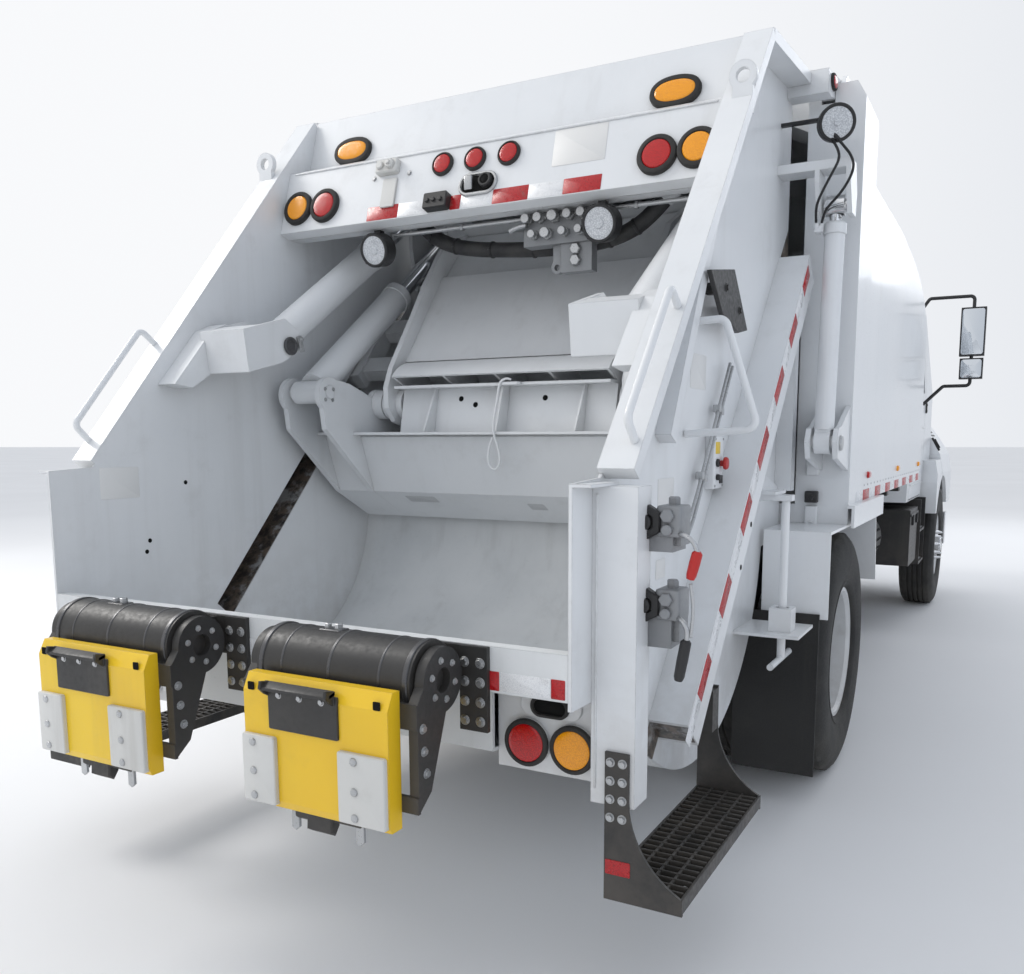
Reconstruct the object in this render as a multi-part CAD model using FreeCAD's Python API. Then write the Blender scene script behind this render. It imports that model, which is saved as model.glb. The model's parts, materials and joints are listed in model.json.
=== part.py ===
import FreeCAD, Part
import os, math
from FreeCAD import Vector as V

os.makedirs("parts", exist_ok=True)

# ---------------------------------------------------------------- driving sizes (mm)
# Working axes: +X vehicle's left, +Y rearward, +Z up, rear axle line at y = 0, ground at z = 0.
WHEELBASE = 4740.0
TYRE_R, TYRE_W, RIM_R, TYRE_Z = 527.0, 280.0, 286.0, 527.0
REAR_OUT_X, REAR_IN_X = 1060.0, 730.0      # centres of the rear twin tyres
FRONT_X, KINGPIN_X = 1075.0, 905.0
BUMPER_Y = -5740.0                          # front face of the bumper
LIFT_REAR_Y = 2520.0                        # rear face of the cart lifter plates
SHIFT_Y = -(BUMPER_Y + LIFT_REAR_Y) / 2.0   # brings the middle of the length to y = 0
HALF_W = 1219.0                             # body half width
BODY_Y0, BODY_Y1 = -2650.0, 200.0           # body shell, front and rear
BODY_Z0, BODY_Z1 = 1190.0, 3180.0
WALL = 933.0                                # hopper inner half width
FLANGE = 1032.0                             # tailgate flange half width
T = 10.0                                    # plate thickness
SILL_Y, SILL_Z = 2240.0, 957.0
HOP_C = (1270.0, 1160.0)                    # centre of the hopper's round floor (y, z)
HOP_R_IN, HOP_R_OUT = 645.0, 760.0
TG_HINGE = (50.0, 2860.0)
SLIDE_DIR = (0.6695, -0.7428)               # packer slide direction, down and rearward (y, z)
TRACK_P = (960.0, 1430.0)                   # a point of the slide track's centre line
SLIDE_TRAVEL = 700.0
BLADE_H = (870.0, 1610.0)                   # blade hinge
BLADE_EAR = (1200.0, 1650.0)                # sweep cylinder pin on the blade
SWEEP_B = (170.0, 2440.0)                   # sweep cylinder pin on the carriage
SLIDE_L = (1430.0, 1810.0)                  # slide cylinder pin on the hopper wall
SLIDE_U = (160.0, 2700.0)                   # slide cylinder pin on the carriage
CYL_X = 755.0                               # packer cylinders' half spacing
LIFT_P = (420.0, 1450.0)                    # tailgate lift cylinder, pin on the body
LIFT_Q = (350.0, 2350.0)                    # tailgate lift cylinder, pin on the tailgate
LIFT_X = 1150.0
DRUM = (2365.0, 895.0)                      # cart lifter axis
DRUM_R = 92.0
LIFTER_X = 400.0
CAB_BACK, CAB_FRONT = -3060.0, -4640.0
DOOR_Y0, DOOR_Y1, DOOR_Z0, DOOR_Z1 = -4050.0, -3190.0, 1015.0, 2540.0
HOOD_HINGE = (-5650.0, 880.0)

# ---------------------------------------------------------------- helpers
def face(pts):
    """Closed face from points; an entry ('arc', p) is the middle of an arc to the next point."""
    edges, i, n = [], 0, len(pts)
    cur = pts[0]
    i = 1
    seq = pts[1:] + [pts[0]]
    j = 0
    while j < len(seq):
        p = seq[j]
        if isinstance(p, tuple) and p[0] == "arc":
            end = seq[j + 1]
            edges.append(Part.Arc(cur, p[1], end).toShape())
            cur = end
            j += 2
        else:
            if (p - cur).Length > 1e-6:
                edges.append(Part.LineSegment(cur, p).toShape())
            cur = p
            j += 1
    return Part.Face(Part.Wire(edges))

def px(pts, x0, x1):
    """Prism along X of a (y, z) outline."""
    q = [("arc", V(x0, p[1][0], p[1][1])) if p[0] == "arc" else V(x0, p[0], p[1]) for p in pts]
    return face(q).extrude(V(x1 - x0, 0, 0))

def py(pts, y0, y1):
    """Prism along Y of an (x, z) outline."""
    q = [("arc", V(p[1][0], y0, p[1][1])) if p[0] == "arc" else V(p[0], y0, p[1]) for p in pts]
    return face(q).extrude(V(0, y1 - y0, 0))

def pz(pts, z0, z1):
    q = [("arc", V(p[1][0], p[1][1], z0)) if p[0] == "arc" else V(p[0], p[1], z0) for p in pts]
    return face(q).extrude(V(0, 0, z1 - z0))

def box(x0, x1, y0, y1, z0, z1):
    return Part.makeBox(abs(x1 - x0), abs(y1 - y0), abs(z1 - z0), V(min(x0, x1), min(y0, y1), min(z0, z1)))

def cyl(p, d, r, h):
    return Part.makeCylinder(r, h, V(*p), V(*d))

def cylx(x0, x1, y, z, r):
    return Part.makeCylinder(r, x1 - x0, V(x0, y, z), V(1, 0, 0))

def tubex(x0, x1, y, z, ro, ri):
    return cylx(x0, x1, y, z, ro).cut(cylx(x0 - 1, x1 + 1, y, z, ri))

def fuse(items):
    s = items[0]
    if len(items) > 1:
        s = s.multiFuse(items[1:])
    return s.removeSplitter()

def mir(s):
    return s.mirror(V(0, 0, 0), V(1, 0, 0))

def both(items):
    return items + [mir(s) for s in items]

def bar2(a, b, w, x0, x1):
    """Rectangular bar between (y, z) points a and b, w wide across, from x0 to x1."""
    dy, dz = b[0] - a[0], b[1] - a[1]
    L = math.hypot(dy, dz)
    ny, nz = -dz / L * w / 2, dy / L * w / 2
    return px([(a[0] + ny, a[1] + nz), (b[0] + ny, b[1] + nz), (b[0] - ny, b[1] - nz), (a[0] - ny, a[1] - nz)], x0, x1)

def rod2(a, b, r, x, start=0.0, end=0.0, bore=0.0):
    """Round rod or tube in the plane x between (y, z) points a and b, trimmed by start and end."""
    dy, dz = b[0] - a[0], b[1] - a[1]
    L = math.hypot(dy, dz)
    u = (dy / L, dz / L)
    p = (x, a[0] + u[0] * start, a[1] + u[1] * start)
    s = cyl(p, (0, u[0], u[1]), r, L - start - end)
    if bore:
        s = s.cut(cyl((x, p[1] + u[0] * 12, p[2] + u[1] * 12), (0, u[0], u[1]), bore, L))
    return s

def bent(points, r, bend):
    """Round bar along straight runs joined by tangent arcs of radius bend."""
    P = [V(*p) for p in points]
    edges, cur = [], P[0]
    for i in range(1, len(P) - 1):
        a = (P[i - 1] - P[i]).normalize()
        b = (P[i + 1] - P[i]).normalize()
        ang = math.pi - a.getAngle(b)
        t = bend * math.tan(ang / 2)
        p1, p2 = P[i] + a * t, P[i] + b * t
        m = (a + b).normalize()
        c = P[i] + m * (bend / math.cos(ang / 2))
        mid = c - m * bend
        if (p1 - cur).Length > 1e-6:
            edges.append(Part.LineSegment(cur, p1).toShape())
        edges.append(Part.Arc(p1, mid, p2).toShape())
        cur = p2
    edges.append(Part.LineSegment(cur, P[-1]).toShape())
    w = Part.Wire(edges)
    d = (P[1] - P[0]).normalize()
    prof = Part.Wire([Part.Circle(P[0], d, r).toShape()])
    return w.makePipeShell([prof], True, False)

def cord_tube(points, r):
    """Round cord along straight runs joined by tangent arcs, each arc as large as its two runs allow."""
    P = [V(*p) for p in points]
    runs = [(P[i + 1] - P[i]).Length for i in range(len(P) - 1)]
    edges, cur, length, radii = [], P[0], 0.0, []
    for i in range(1, len(P) - 1):
        a = (P[i - 1] - P[i]).normalize()
        b = (P[i + 1] - P[i]).normalize()
        turn = math.pi - a.getAngle(b)
        t = 0.45 * min(runs[i - 1], runs[i])
        bend = t / math.tan(turn / 2)
        radii.append(round(bend))
        p1, p2 = P[i] + a * t, P[i] + b * t
        m = (a + b).normalize()
        mid = P[i] + m * (bend / math.cos(turn / 2) - bend)
        edges.append(Part.LineSegment(cur, p1).toShape())
        edges.append(Part.Arc(p1, mid, p2).toShape())
        length += (p1 - cur).Length + bend * turn
        cur = p2
    edges.append(Part.LineSegment(cur, P[-1]).toShape())
    length += (P[-1] - cur).Length
    prof = Part.Wire([Part.Circle(P[0], (P[1] - P[0]).normalize(), r).toShape()])
    s = Part.Wire(edges).makePipeShell([prof], True, False)
    print("cord length", round(length), "radii", radii, "volume ratio", round(s.Volume / (math.pi * r * r * length), 4))
    return s

def inset(pts, t):
    """Convex outline moved inward by t; points run anticlockwise."""
    n = len(pts)
    out = []
    for i in range(n):
        a, b, c = pts[i - 1], pts[i], pts[(i + 1) % n]
        def ln(p, q):
            dx, dy = q[0] - p[0], q[1] - p[1]
            L = math.hypot(dx, dy)
            nx, ny = -dy / L, dx / L
            return (p[0] + nx * t, p[1] + ny * t), (dx / L, dy / L)
        (p, u), (q, v) = ln(a, b), ln(b, c)
        d = u[0] * v[1] - u[1] * v[0]
        s = ((q[0] - p[0]) * v[1] - (q[1] - p[1]) * v[0]) / d
        out.append((p[0] + u[0] * s, p[1] + u[1] * s))
    return out

RAW = {}
def out(name, shapes):
    """One node; separate pieces of one body stay separate solids that do not touch."""
    RAW[name] = list(shapes) if isinstance(shapes, list) else [shapes]

# ---------------------------------------------------------------- chassis
RAIL_X, RAIL_Z0, RAIL_Z1 = 430.0, 745.0, 985.0
rails = []
for s in (1,):
    r = box(RAIL_X - 80, RAIL_X, -5590, 330, RAIL_Z0, RAIL_Z1)
    r = r.cut(box(RAIL_X - 81, RAIL_X - T, -5600, 340, RAIL_Z0 + T, RAIL_Z1 - T))
    rails.append(r)
rails = both(rails)
# cross members: y, height
for y, h in ((-5560, 180), (-4000, 120), (-3000, 160), (-2000, 160), (-900, 160), (-300, 160), (300, 200)):
    rails.append(box(-RAIL_X + T, RAIL_X - T, y - 30, y + 30, 865 - h / 2, 865 + h / 2).cut(
        box(-RAIL_X, RAIL_X, y - 20, y + 31, 865 - h / 2 + 10, 865 + h / 2 - 10)))
# body longitudinals and cross sills that carry the body on the rails
for x in (-390, 390):
    rails.append(box(x - 40, x + 40, -2640, 190, RAIL_Z1, 1110))
for y in (-2600, -2000, -1400, -800, -250):
    rails.append(box(-1100, 1100, y - 40, y + 40, 1110, BODY_Z0))
# the drive shaft passes through the cross members
out("chassis_frame", fuse(rails).cut(cyl((0, -400, TYRE_Z + 10), (0, -0.9939, 0.11), 56, 3320)))

# front axle beam with its springs; kingpin bores at the ends
axle = [box(-KINGPIN_X + 45, KINGPIN_X - 45, -WHEELBASE - 50, -WHEELBASE + 50, 400, 500)]
for s in (-1, 1):
    axle.append(cyl((s * KINGPIN_X, -WHEELBASE, 400), (0, 0, 1), 48, 215))
    axle.append(box(min(s * 300, s * 860), max(s * 300, s * 860), -WHEELBASE - 45, -WHEELBASE + 45, 400, 500))
    x = s * 385
    axle.append(px([(-5500, 735), (-5400, 640), (-4900, 560), (-4580, 560), (-4080, 640), (-3980, 735),
                    (-4010, 744), (-4100, 665), (-4600, 600), (-4880, 600), (-5390, 665), (-5470, 744)], x - 40, x + 40))
    axle.append(box(x - 45, x + 45, -WHEELBASE - 70, -WHEELBASE + 70, 490, 565))
front_axle = fuse(axle)
for s in (-1, 1):
    front_axle = front_axle.cut(cyl((s * KINGPIN_X, -WHEELBASE, 390), (0, 0, 1), 22.05, 240))
out("front_axle", front_axle)

# rear axle: banjo housing, springs, drive shaft
rear = [cylx(-594, 594, 0, TYRE_Z, 75), cyl((0, -150, TYRE_Z), (0, 1, 0), 200, 290), cyl((0, 130, TYRE_Z), (0, 1, 0), 150, 60),
        cyl((0, -420, TYRE_Z), (0, 1, 0), 80, 290)]
for s in (-1, 1):
    x = s * 470
    rear.append(px([(-760, 740), (-700, 640), (-200, 600), (200, 600), (700, 640), (760, 740),
                    (700, 742), (640, 690), (180, 665), (-180, 665), (-640, 690), (-700, 742)], x - 40, x + 40)
                .cut(box(x - 50, x + 50, 335, 900, 500, 800)))
    rear.append(box(x - 50, x + 50, -80, 80, 560, 610))
    rear.append(box(x - 38, x + 38, 260, 330, 660, 744))
    rear.append(box(x - 38, x + 38, -760, -690, 690, 744))
rear.append(cyl((0, -400, TYRE_Z + 10), (0, -0.9939, 0.11), 48, 3300))
out("rear_axle", fuse(rear))

out("engine_block", fuse([box(-320, 320, -5300, -4690, 760, 1480), box(-250, 250, -4700, -4250, 640, 1150)]))

bump = box(-1200, 1200, BUMPER_Y, -5600, 450, 765).cut(box(-1190, 1190, BUMPER_Y + 12, -5590, 462, 753))
bump = fuse([bump, box(-RAIL_X, -RAIL_X + 80, BUMPER_Y + 12, -5590, 600, 753), box(RAIL_X - 80, RAIL_X, BUMPER_Y + 12, -5590, 600, 753)])
tow = []
for x in (-390, 390):
    tow.append(px([(-5720, 462), (-5610, 462), (-5625, 400), (-5665, 372), (-5705, 400)], x - 12, x + 12).cut(cylx(x - 20, x + 20, -5665, 415, 20)))
bump = fuse([bump] + tow)
out("front_bumper", bump)

# ---------------------------------------------------------------- cab (hollow shell of 50 mm walls)
CAB_T = 50.0
CAB_SIDE = [(CAB_FRONT, 1000), (CAB_BACK, 1000), (CAB_BACK, 2520), (-3110, 2610), (-3200, 2660), (-3600, 2690),
            (-3980, 2680), (-4090, 2640), (-4170, 2560), (CAB_FRONT, 1850)]
CAB_FACE = [(-1100, 1000), (1100, 1000), (1110, 1300), (1108, 1850), (1062, 2480), (1030, 2580), (950, 2660), (700, 2695),
            (-700, 2695), (-950, 2660), (-1030, 2580), (-1062, 2480), (-1108, 1850), (-1110, 1300)]
def cab_solid(t):
    s = px(inset(CAB_SIDE, t), -1300, 1300).common(py(inset(CAB_FACE, t), -6000, -2000))
    return s.cut(box(-1300, 1300, -5000, -4080 + t, 900, 1290 + t))   # room for the front wheels
cab_in = cab_solid(CAB_T)
cab = cab_solid(0).cut(cab_in)
GAP = 8.0
door_cut = px([(DOOR_Y0 - GAP, DOOR_Z0 - GAP), (DOOR_Y1 + GAP + 8, DOOR_Z0 - GAP), (DOOR_Y1 + GAP + 8, DOOR_Z1 + GAP),
               (-3860 - GAP, DOOR_Z1 + GAP), (DOOR_Y0 - GAP, 2250 + GAP)], 600, 1300)
door_pr = px([(DOOR_Y0, DOOR_Z0), (DOOR_Y1, DOOR_Z0), (DOOR_Y1, DOOR_Z1), (-3860, DOOR_Z1), (DOOR_Y0, 2250)], 900, 1300)
win_pr = px([(DOOR_Y0 + 90, 1830), (DOOR_Y1 - 80, 1830), (DOOR_Y1 - 80, 2440), (-3840, 2440), (DOOR_Y0 + 90, 2200)], 900, 1300)
door = cab_solid(0).cut(cab_solid(CAB_T - 2)).common(door_pr).cut(win_pr)
door_glass = cab_solid(18).cut(cab_solid(24)).common(win_pr)
cab = cab.cut(door_cut).cut(mir(door_cut))
ws_pr = py([(-930, 1960), (930, 1960), (900, 2530), (-900, 2530)], -5000, -4105)
rw_pr = py([(-380, 1980), (380, 1980), (380, 2420), (-380, 2420)], -3150, -3000)
glass = [cab_solid(18).cut(cab_solid(24)).common(ws_pr), cab_solid(18).cut(cab_solid(24)).common(rw_pr)]
cab = cab.cut(ws_pr).cut(rw_pr)
cab_mounts = [box(x - 40, x + 40, y - 50, y + 50, RAIL_Z1, 1000) for x in (-390, 390) for y in (-3950, -3150)]
# rear quarter of each front wheel arch, fixed under the cab so that the hood can tip clear of it
QUARTER = [(-4640, 850), (-4130, 850), (-4110, 1110), (-4140, 1292), (-4640, 1292)]
FENDER_FACE = [(640, 800), (1225, 800), (1225, 1170), (1202, 1292), (640, 1292)]
quarter = px(QUARTER, 640, 1225).common(py(FENDER_FACE, -5000, -4000))
quarter = quarter.cut(px([(-4700, 800), (-4160, 800), (-4142, 1100), (-4165, 1262), (-4700, 1262)], 600, 1196))
quarter = quarter.cut(cylx(500, 1300, -WHEELBASE, TYRE_Z, 620))
out("cab_shell", fuse([cab] + cab_mounts + both([quarter])))
out("cab_glass", glass)
door = door.cut(box(880, 1005, -3300, -3180, 1000, 1062))
out("left_door", door)
out("right_door", mir(door))
out("left_door_glass", door_glass)
out("right_door_glass", mir(door_glass))

# seats, dashboard and steering wheel
inner = []
for x, w in ((560, 460), (-560, 460)):
    inner.append(fuse([box(x - w / 2, x + w / 2, -3700, -3230, 1330, 1450), box(x - 150, x + 150, -3620, -3320, 1050, 1330),
                       px([(-3290, 1450), (-3170, 1450), (-3125, 2150), (-3215, 2150)], x - w / 2, x + w / 2)]))
dash = px([(-4590, 1340), (-4300, 1340), (-4180, 1500), (-4200, 1780), (-4330, 1830), (-4590, 1800)], -1000, 1000)
col = cyl((560, -4230, 1560), (0, 0.80, 0.60), 30, 240)
wheel_c = V(560, -4230 + 0.8 * 250, 1560 + 0.6 * 250)
sw = Part.makeTorus(220, 16, wheel_c, V(0, 0.80, 0.60))
hubw = cyl((wheel_c.x, wheel_c.y - 12, wheel_c.z - 10), (0, 0.8, 0.6), 60, 26)
spokes = []
for a in (0, 1):
    sp = box(-222, 222, -14, 14, -6, 6) if a == 0 else box(-14, 14, -222, 0, -6, 6)
    sp.rotate(V(0, 0, 0), V(1, 0, 0), -53.13)
    sp.translate(wheel_c)
    spokes.append(sp)
inner.append(fuse([dash, col, sw, hubw] + spokes))
out("cab_interior", inner)

# hood with both fenders, hinged at the nose
HOOD_SIDE = [(-5690, 880), (-4660, 880), (-4660, 1840), (-4900, 1790), (-5400, 1650), (-5560, 1560), (-5650, 1420), (-5690, 1200)]
HOOD_FACE = [(-1225, 700), (1225, 700), (1225, 1170), (1195, 1330), (1110, 1480), (1000, 1640), (900, 1780), (800, 1850),
             (-800, 1850), (-900, 1780), (-1000, 1640), (-1110, 1480), (-1195, 1330), (-1225, 1170)]
def hood_solid(t):
    s = px(inset(HOOD_SIDE, t), -1300, 1300).common(py(inset(HOOD_FACE, t), -6000, -4000))
    return s
fender = px([(-5690, 880), (-4660, 880), (-4660, 1330), (-5690, 1330)], 640, 1225)
fender = fender.common(py(HOOD_FACE, -6000, -4000))
hood = fuse([hood_solid(0), fender, mir(fender)])
core = hood_solid(30).fuse(box(-1195, 1195, -5660, -4600, 800, 1100)).fuse(box(-1000, 1000, -4700, -4650, 850, 1800))
hood = hood.cut(core.removeSplitter())
hood = hood.cut(box(-640, 640, -4670, -4000, 700, 1900)).cut(box(-1300, 1300, -4665, -4640, 1330, 1900))
arch = cylx(-1300, 1300, -WHEELBASE, TYRE_Z, 620)
hood = hood.cut(arch)
hood = hood.cut(box(-600, 600, -5700, -5650, 930, 1380))       # grille opening
hood = fuse([s for s in hood.Solids if s.Volume > 1e6])
grille = [box(-600, 600, -5685, -5665, z - 12, z + 12) for z in range(950, 1380, 70)] 
grille += [box(-30, 30, -5665, -5655, 930, 1380)]
grille = fuse(grille + [box(x - 20, x + 20, -5665, -5655, 930, 1380) for x in (-300, 300)] +
              [box(-615, -585, -5682, -5662, 925, 1385), box(585, 615, -5682, -5662, 925, 1385)])
out("hood", fuse([hood, grille] + [box(-640, 640, -5690, -5660, 880, 935), box(-640, 640, -5688, -5660, 1375, 1390)]))

# ---------------------------------------------------------------- wheels
def tyre(x):
    w, R = TYRE_W / 2, TYRE_R
    prof = [(-w + 25, RIM_R + 2), (-w + 4, RIM_R + 60), (-w, 410), (-w + 12, R - 40), (-w + 45, R - 4), (-w + 70, R),
            (w - 70, R), (w - 45, R - 4), (w - 12, R - 40), (w, 410), (w - 4, RIM_R + 60), (w - 25, RIM_R + 2)]
    f = face([V(x + a, 0, b) for a, b in prof])
    return f.revolve(V(0, 0, 0), V(1, 0, 0), 360)
def rim(x, side, dish):
    """Steel rim: barrel between the beads and a dished disc with hand holes."""
    w = TYRE_W / 2 - 25
    f = face([V(x + a, 0, b) for a, b in ((-w, RIM_R + 1), (-w, RIM_R - 16), (-w + 16, RIM_R - 26), (w - 16, RIM_R - 26), (w, RIM_R - 16), (w, RIM_R + 1))])
    b = f.revolve(V(0, 0, 0), V(1, 0, 0), 360)
    d = face([V(x + side * a, 0, b_) for a, b_ in ((dish, 0), (dish, 150), (dish - 45, 235), (dish - 60, RIM_R - 20), (dish - 72, RIM_R - 20), (dish - 57, 232), (dish - 12, 145), (dish - 12, 0))])
    d = d.revolve(V(0, 0, 0), V(1, 0, 0), 360)
    for k in range(8):
        a = k * math.pi / 4
        d = d.cut(cylx(x - 200, x + 200, 200 * math.cos(a), 200 * math.sin(a), 26))
    return b.fuse(d)
def at(s, y):
    s.translate(V(0, y, TYRE_Z))
    return s
for side, nm in ((1, "left"), (-1, "right")):
    out("rear_%s_tyres" % nm, [at(tyre(side * REAR_OUT_X), 0), at(tyre(side * REAR_IN_X), 0)])
    ro = rim(side * REAR_OUT_X, side, -20.0)
    ri = rim(side * REAR_IN_X, -side, -20.0)
    drum = cylx(min(side * 600, side * 895), max(side * 600, side * 895), 0, 0, 205)
    hub = cylx(min(side * 890, side * 1085), max(side * 890, side * 1085), 0, 0, 95)
    hole = cylx(min(side * 590, side * 640), max(side * 590, side * 640), 0, 0, 80)
    spacer = tubex(min(side * 745, side * 1045), max(side * 745, side * 1045), 0, 0, 150, 80)
    out("rear_%s_rims" % nm, at(fuse([ro, ri, drum.cut(hole), hub, spacer]), 0))
    out("front_%s_tyre" % nm, at(tyre(side * FRONT_X), -WHEELBASE))
    rf = rim(side * FRONT_X, side, 95.0)
    hubf = cylx(min(side * (FRONT_X + 20), side * (FRONT_X + 145)), max(side * (FRONT_X + 20), side * (FRONT_X + 145)), 0, 0, 85)
    bore = cylx(min(side * (FRONT_X + 10), side * (FRONT_X + 60)), max(side * (FRONT_X + 10), side * (FRONT_X + 60)), 0, 0, 30.1)
    brk = cylx(min(side * 985, side * 1120), max(side * 985, side * 1120), 0, 0, 190).cut(cylx(min(side * 980, side * 1110), max(side * 980, side * 1110), 0, 0, 175))
    out("front_%s_rim" % nm, at(fuse([rf, hubf, brk]).cut(bore), -WHEELBASE))
    # knuckle: kingpin, yoke arms above and below the axle end, spindle
    kx = side * KINGPIN_X
    k = [cyl((kx, -WHEELBASE, 385), (0, 0, 1), 22, 245), cyl((kx, -WHEELBASE, 370), (0, 0, 1), 50, 26), cyl((kx, -WHEELBASE, 619), (0, 0, 1), 50, 26)]
    x0, x1 = sorted((side * (KINGPIN_X + 54), side * (KINGPIN_X + 84)))
    k.append(box(x0, x1, -WHEELBASE - 60, -WHEELBASE + 60, 370, 645))
    xa, xb = sorted((kx, side * (KINGPIN_X + 84)))
    k.append(box(xa, xb, -WHEELBASE - 40, -WHEELBASE + 40, 370, 396))
    k.append(box(xa, xb, -WHEELBASE - 40, -WHEELBASE + 40, 619, 645))
    xs, xe = sorted((side * (KINGPIN_X + 80), side * (FRONT_X + 55)))
    k.append(cylx(xs, xe, -WHEELBASE, TYRE_Z, 30))
    out("%s_knuckle" % nm, fuse(k))

# ---------------------------------------------------------------- body
def body_section(t):
    """(x, z) half outlines joined: upright lower side, leaning shoulder, round top."""
    w = HALF_W - t
    return [(w, BODY_Z0 + t), (w, 2080), ("arc", (w - 38, 2440)), (w - 150, 2760), ("arc", (w - 300, 2990 - t * 0.5)),
            (w - 560, 3115 - t), ("arc", (0, BODY_Z1 - t)), (-w + 560, 3115 - t), ("arc", (-w + 300, 2990 - t * 0.5)),
            (-w + 150, 2760), ("arc", (-w + 38, 2440)), (-w, 2080), (-w, BODY_Z0 + t)]
outer = py(body_section(0), BODY_Y0, -140)
innr = py(body_section(12), BODY_Y0 + 12, 300)
# front bulkhead doorway that the crew can see the ejector cylinder through
shell = outer.cut(innr).cut(box(-300, 300, BODY_Y0 - 5, BODY_Y0 + 20, 1300, 1900))
out("body_shell", shell)
# rear ring of the body: posts, sill and header
ring_o = py([(1219, 1110), (1219, 2790), (1185, 2850), (1120, 2850), (1050, 2900), (900, 2960), (-900, 2960), (-1050, 2900),
             (-1120, 2850), (-1185, 2850), (-1219, 2790), (-1219, 1110)], -140, BODY_Y1)
ring_o = ring_o.cut(box(-1000, 1000, 125, BODY_Y1 + 1, 2690, 3000))
ring_i = py([(1000, 1190), (1000, 2700), (800, 2800), (-800, 2800), (-1000, 2700), (-1000, 1190)], -150, BODY_Y1 + 10)
top = outer.copy().cut(innr)
ring = ring_o.cut(ring_i)
# closing plate between the body roof and the ring header
plate = py(body_section(0), -140, -128).cut(py([(1000, 1100), (1000, 2700), (800, 2800), (-800, 2800), (-1000, 2700), (-1000, 1100)], -150, -120))
lugs = []
for x in (1075, -1075):
    for dx in (-44, 26):
        lugs.append(px([(-60, 2700), (190, 2700), (195, 2790), (110, 2880), (60, 2925), (0, 2925), (-60, 2860)], x + dx, x + dx + 18))
hinge_pins = [cylx(x - 60, x + 60, TG_HINGE[0], TG_HINGE[1], 25) for x in (1075, -1075)]
lp = []
for s in (-1, 1):
    a, b = sorted((s * (LIFT_X - 62), s * (LIFT_X - 42)))
    c, d = sorted((s * (LIFT_X + 42), s * (LIFT_X + 62)))
    for q0, q1 in ((a, b), (c, d)):
        lp.append(px([(190, 1330), (450, 1385), (480, 1450), (450, 1500), (390, 1512), (190, 1600)], q0, q1))
    e, f = sorted((s * (LIFT_X - 62), s * (LIFT_X + 62)))
    lp.append(cylx(e, f, LIFT_P[0], LIFT_P[1], 24.9))
ring = fuse([ring, plate] + lugs + lp)
for x in (1075, -1075):
    ring = ring.cut(box(x - 26, x + 26, -80, 260, 2780, 3100))
out("body_rear_ring", fuse([ring] + hinge_pins))

# rear fenders: flat top, sloped flare and rear upright
fen = []
for s in (1,):
    fen.append(box(560, 1219, -640, 225, 1098, 1110))
    fen.append(box(962, 1219, 225, 560, 1098, 1110))
    fen.append(box(962, 1219, 548, 560, 770, 1110))
    fen.append(px([(-640, 1110), (-720, 760), (-708, 757), (-628, 1098)], 860, 1219))
    fen.append(box(860, 1250, -640, 230, 1098, 1190).cut(box(855, 1238, -650, 232, 1090, 1178)).cut(box(850, 1219, -650, 240, 1090, 1195)))
out("rear_fenders", both([fuse(fen)]))
out("mudflaps", both([fuse([box(860, 1190, 562, 572, 140, 790)])]))
mud_hang = []

# ejector panel with its foot rails, rides inside the body
ej = [px([(-2400, 1240), (-2340, 1240), (-2200, 1900), (-2200, 2700), (-2260, 2700), (-2260, 1915)], -960, 960),
      box(-900, 900, -2560, -2230, 1215, 1240)]
for x in (-800, 0, 800):
    ej.append(px([(-2560, 1240), (-2390, 1240), (-2255, 1915), (-2255, 2600), (-2300, 2600)], x - 10, x + 10))
out("ejector_panel", fuse(ej))

# tanks, boxes and steps between the axles
tank = cyl((690, -3950, 760), (0, 1, 0), 235, 1000)
straps = [cyl((690, y, 760), (0, 1, 0), 241, 45) for y in (-3780, -3180)] + [box(430, 560, y - 10, y + 55, 700, 900) for y in (-3780, -3180)]
lsteps = [fuse([box(820, 1150, -4040, -3700, 470, 490), box(820, 1150, -4040, -3700, 730, 750), box(820, 840, -4040, -3700, 470, 990),
                box(820, 1150, -4052, -4040, 470, 990), box(820, 1150, -3700, -3688, 470, 990)])]
rsteps = [mir(s.copy()) for s in lsteps]
bat = fuse([box(-1130, -650, -3640, -3130, 520, 940), box(-660, -430, -3600, -3500, 760, 900), box(-660, -430, -3250, -3150, 760, 900)])
out("fuel_tank", fuse([tank] + straps))
steps_l = fuse([lsteps[0], box(430, 830, -3900, -3840, 800, 880)])
steps_r = fuse([rsteps[0], box(-830, -430, -3900, -3840, 800, 880)])
exh = fuse([cyl((-790, -2750, 770), (0, 1, 0), 190, 900), cyl((-790, -1850, 770), (0, 1, 0), 120, 90), cyl((-790, -1760, 770), (0, 1, 0), 65, 160),
            bent([(-790, -1620, 770), (-790, -1450, 770), (-790, -1350, 620), (-1010, -1250, 560)], 58, 70),
            box(-620, -430, -2600, -2540, 740, 860), box(-620, -430, -2100, -2040, 740, 860)])
out("exhaust", exh)
air = [fuse([cyl((640, -2400, 800), (0, 1, 0), 130, 800), box(430, 560, -2300, -2260, 780, 860), box(430, 560, -1760, -1720, 780, 860)]),
       fuse([cyl((-640, -1180, 800), (0, 1, 0), 120, 420), box(-560, -430, -1000, -960, 780, 860)])]
out("side_steps_and_tanks", [steps_l, steps_r, bat] + air)

# mirrors on the doors: C shaped arms, main head, convex head
def mirror_set():
    arm = bent([(1065, -3820, 2480), (1120, -3820, 2560), (1440, -3820, 2560), (1440, -3820, 1880), (1250, -3820, 1880), (1108, -3820, 1740)], 13, 30)
    main = box(1353, 1530, -3862, -3786, 2105, 2472)
    lower = box(1360, 1526, -3855, -3790, 1930, 2088)
    a = fuse([arm, main, lower])
    return a
ms = mirror_set()
out("left_mirrors", ms)
out("right_mirrors", mir(ms))

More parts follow.
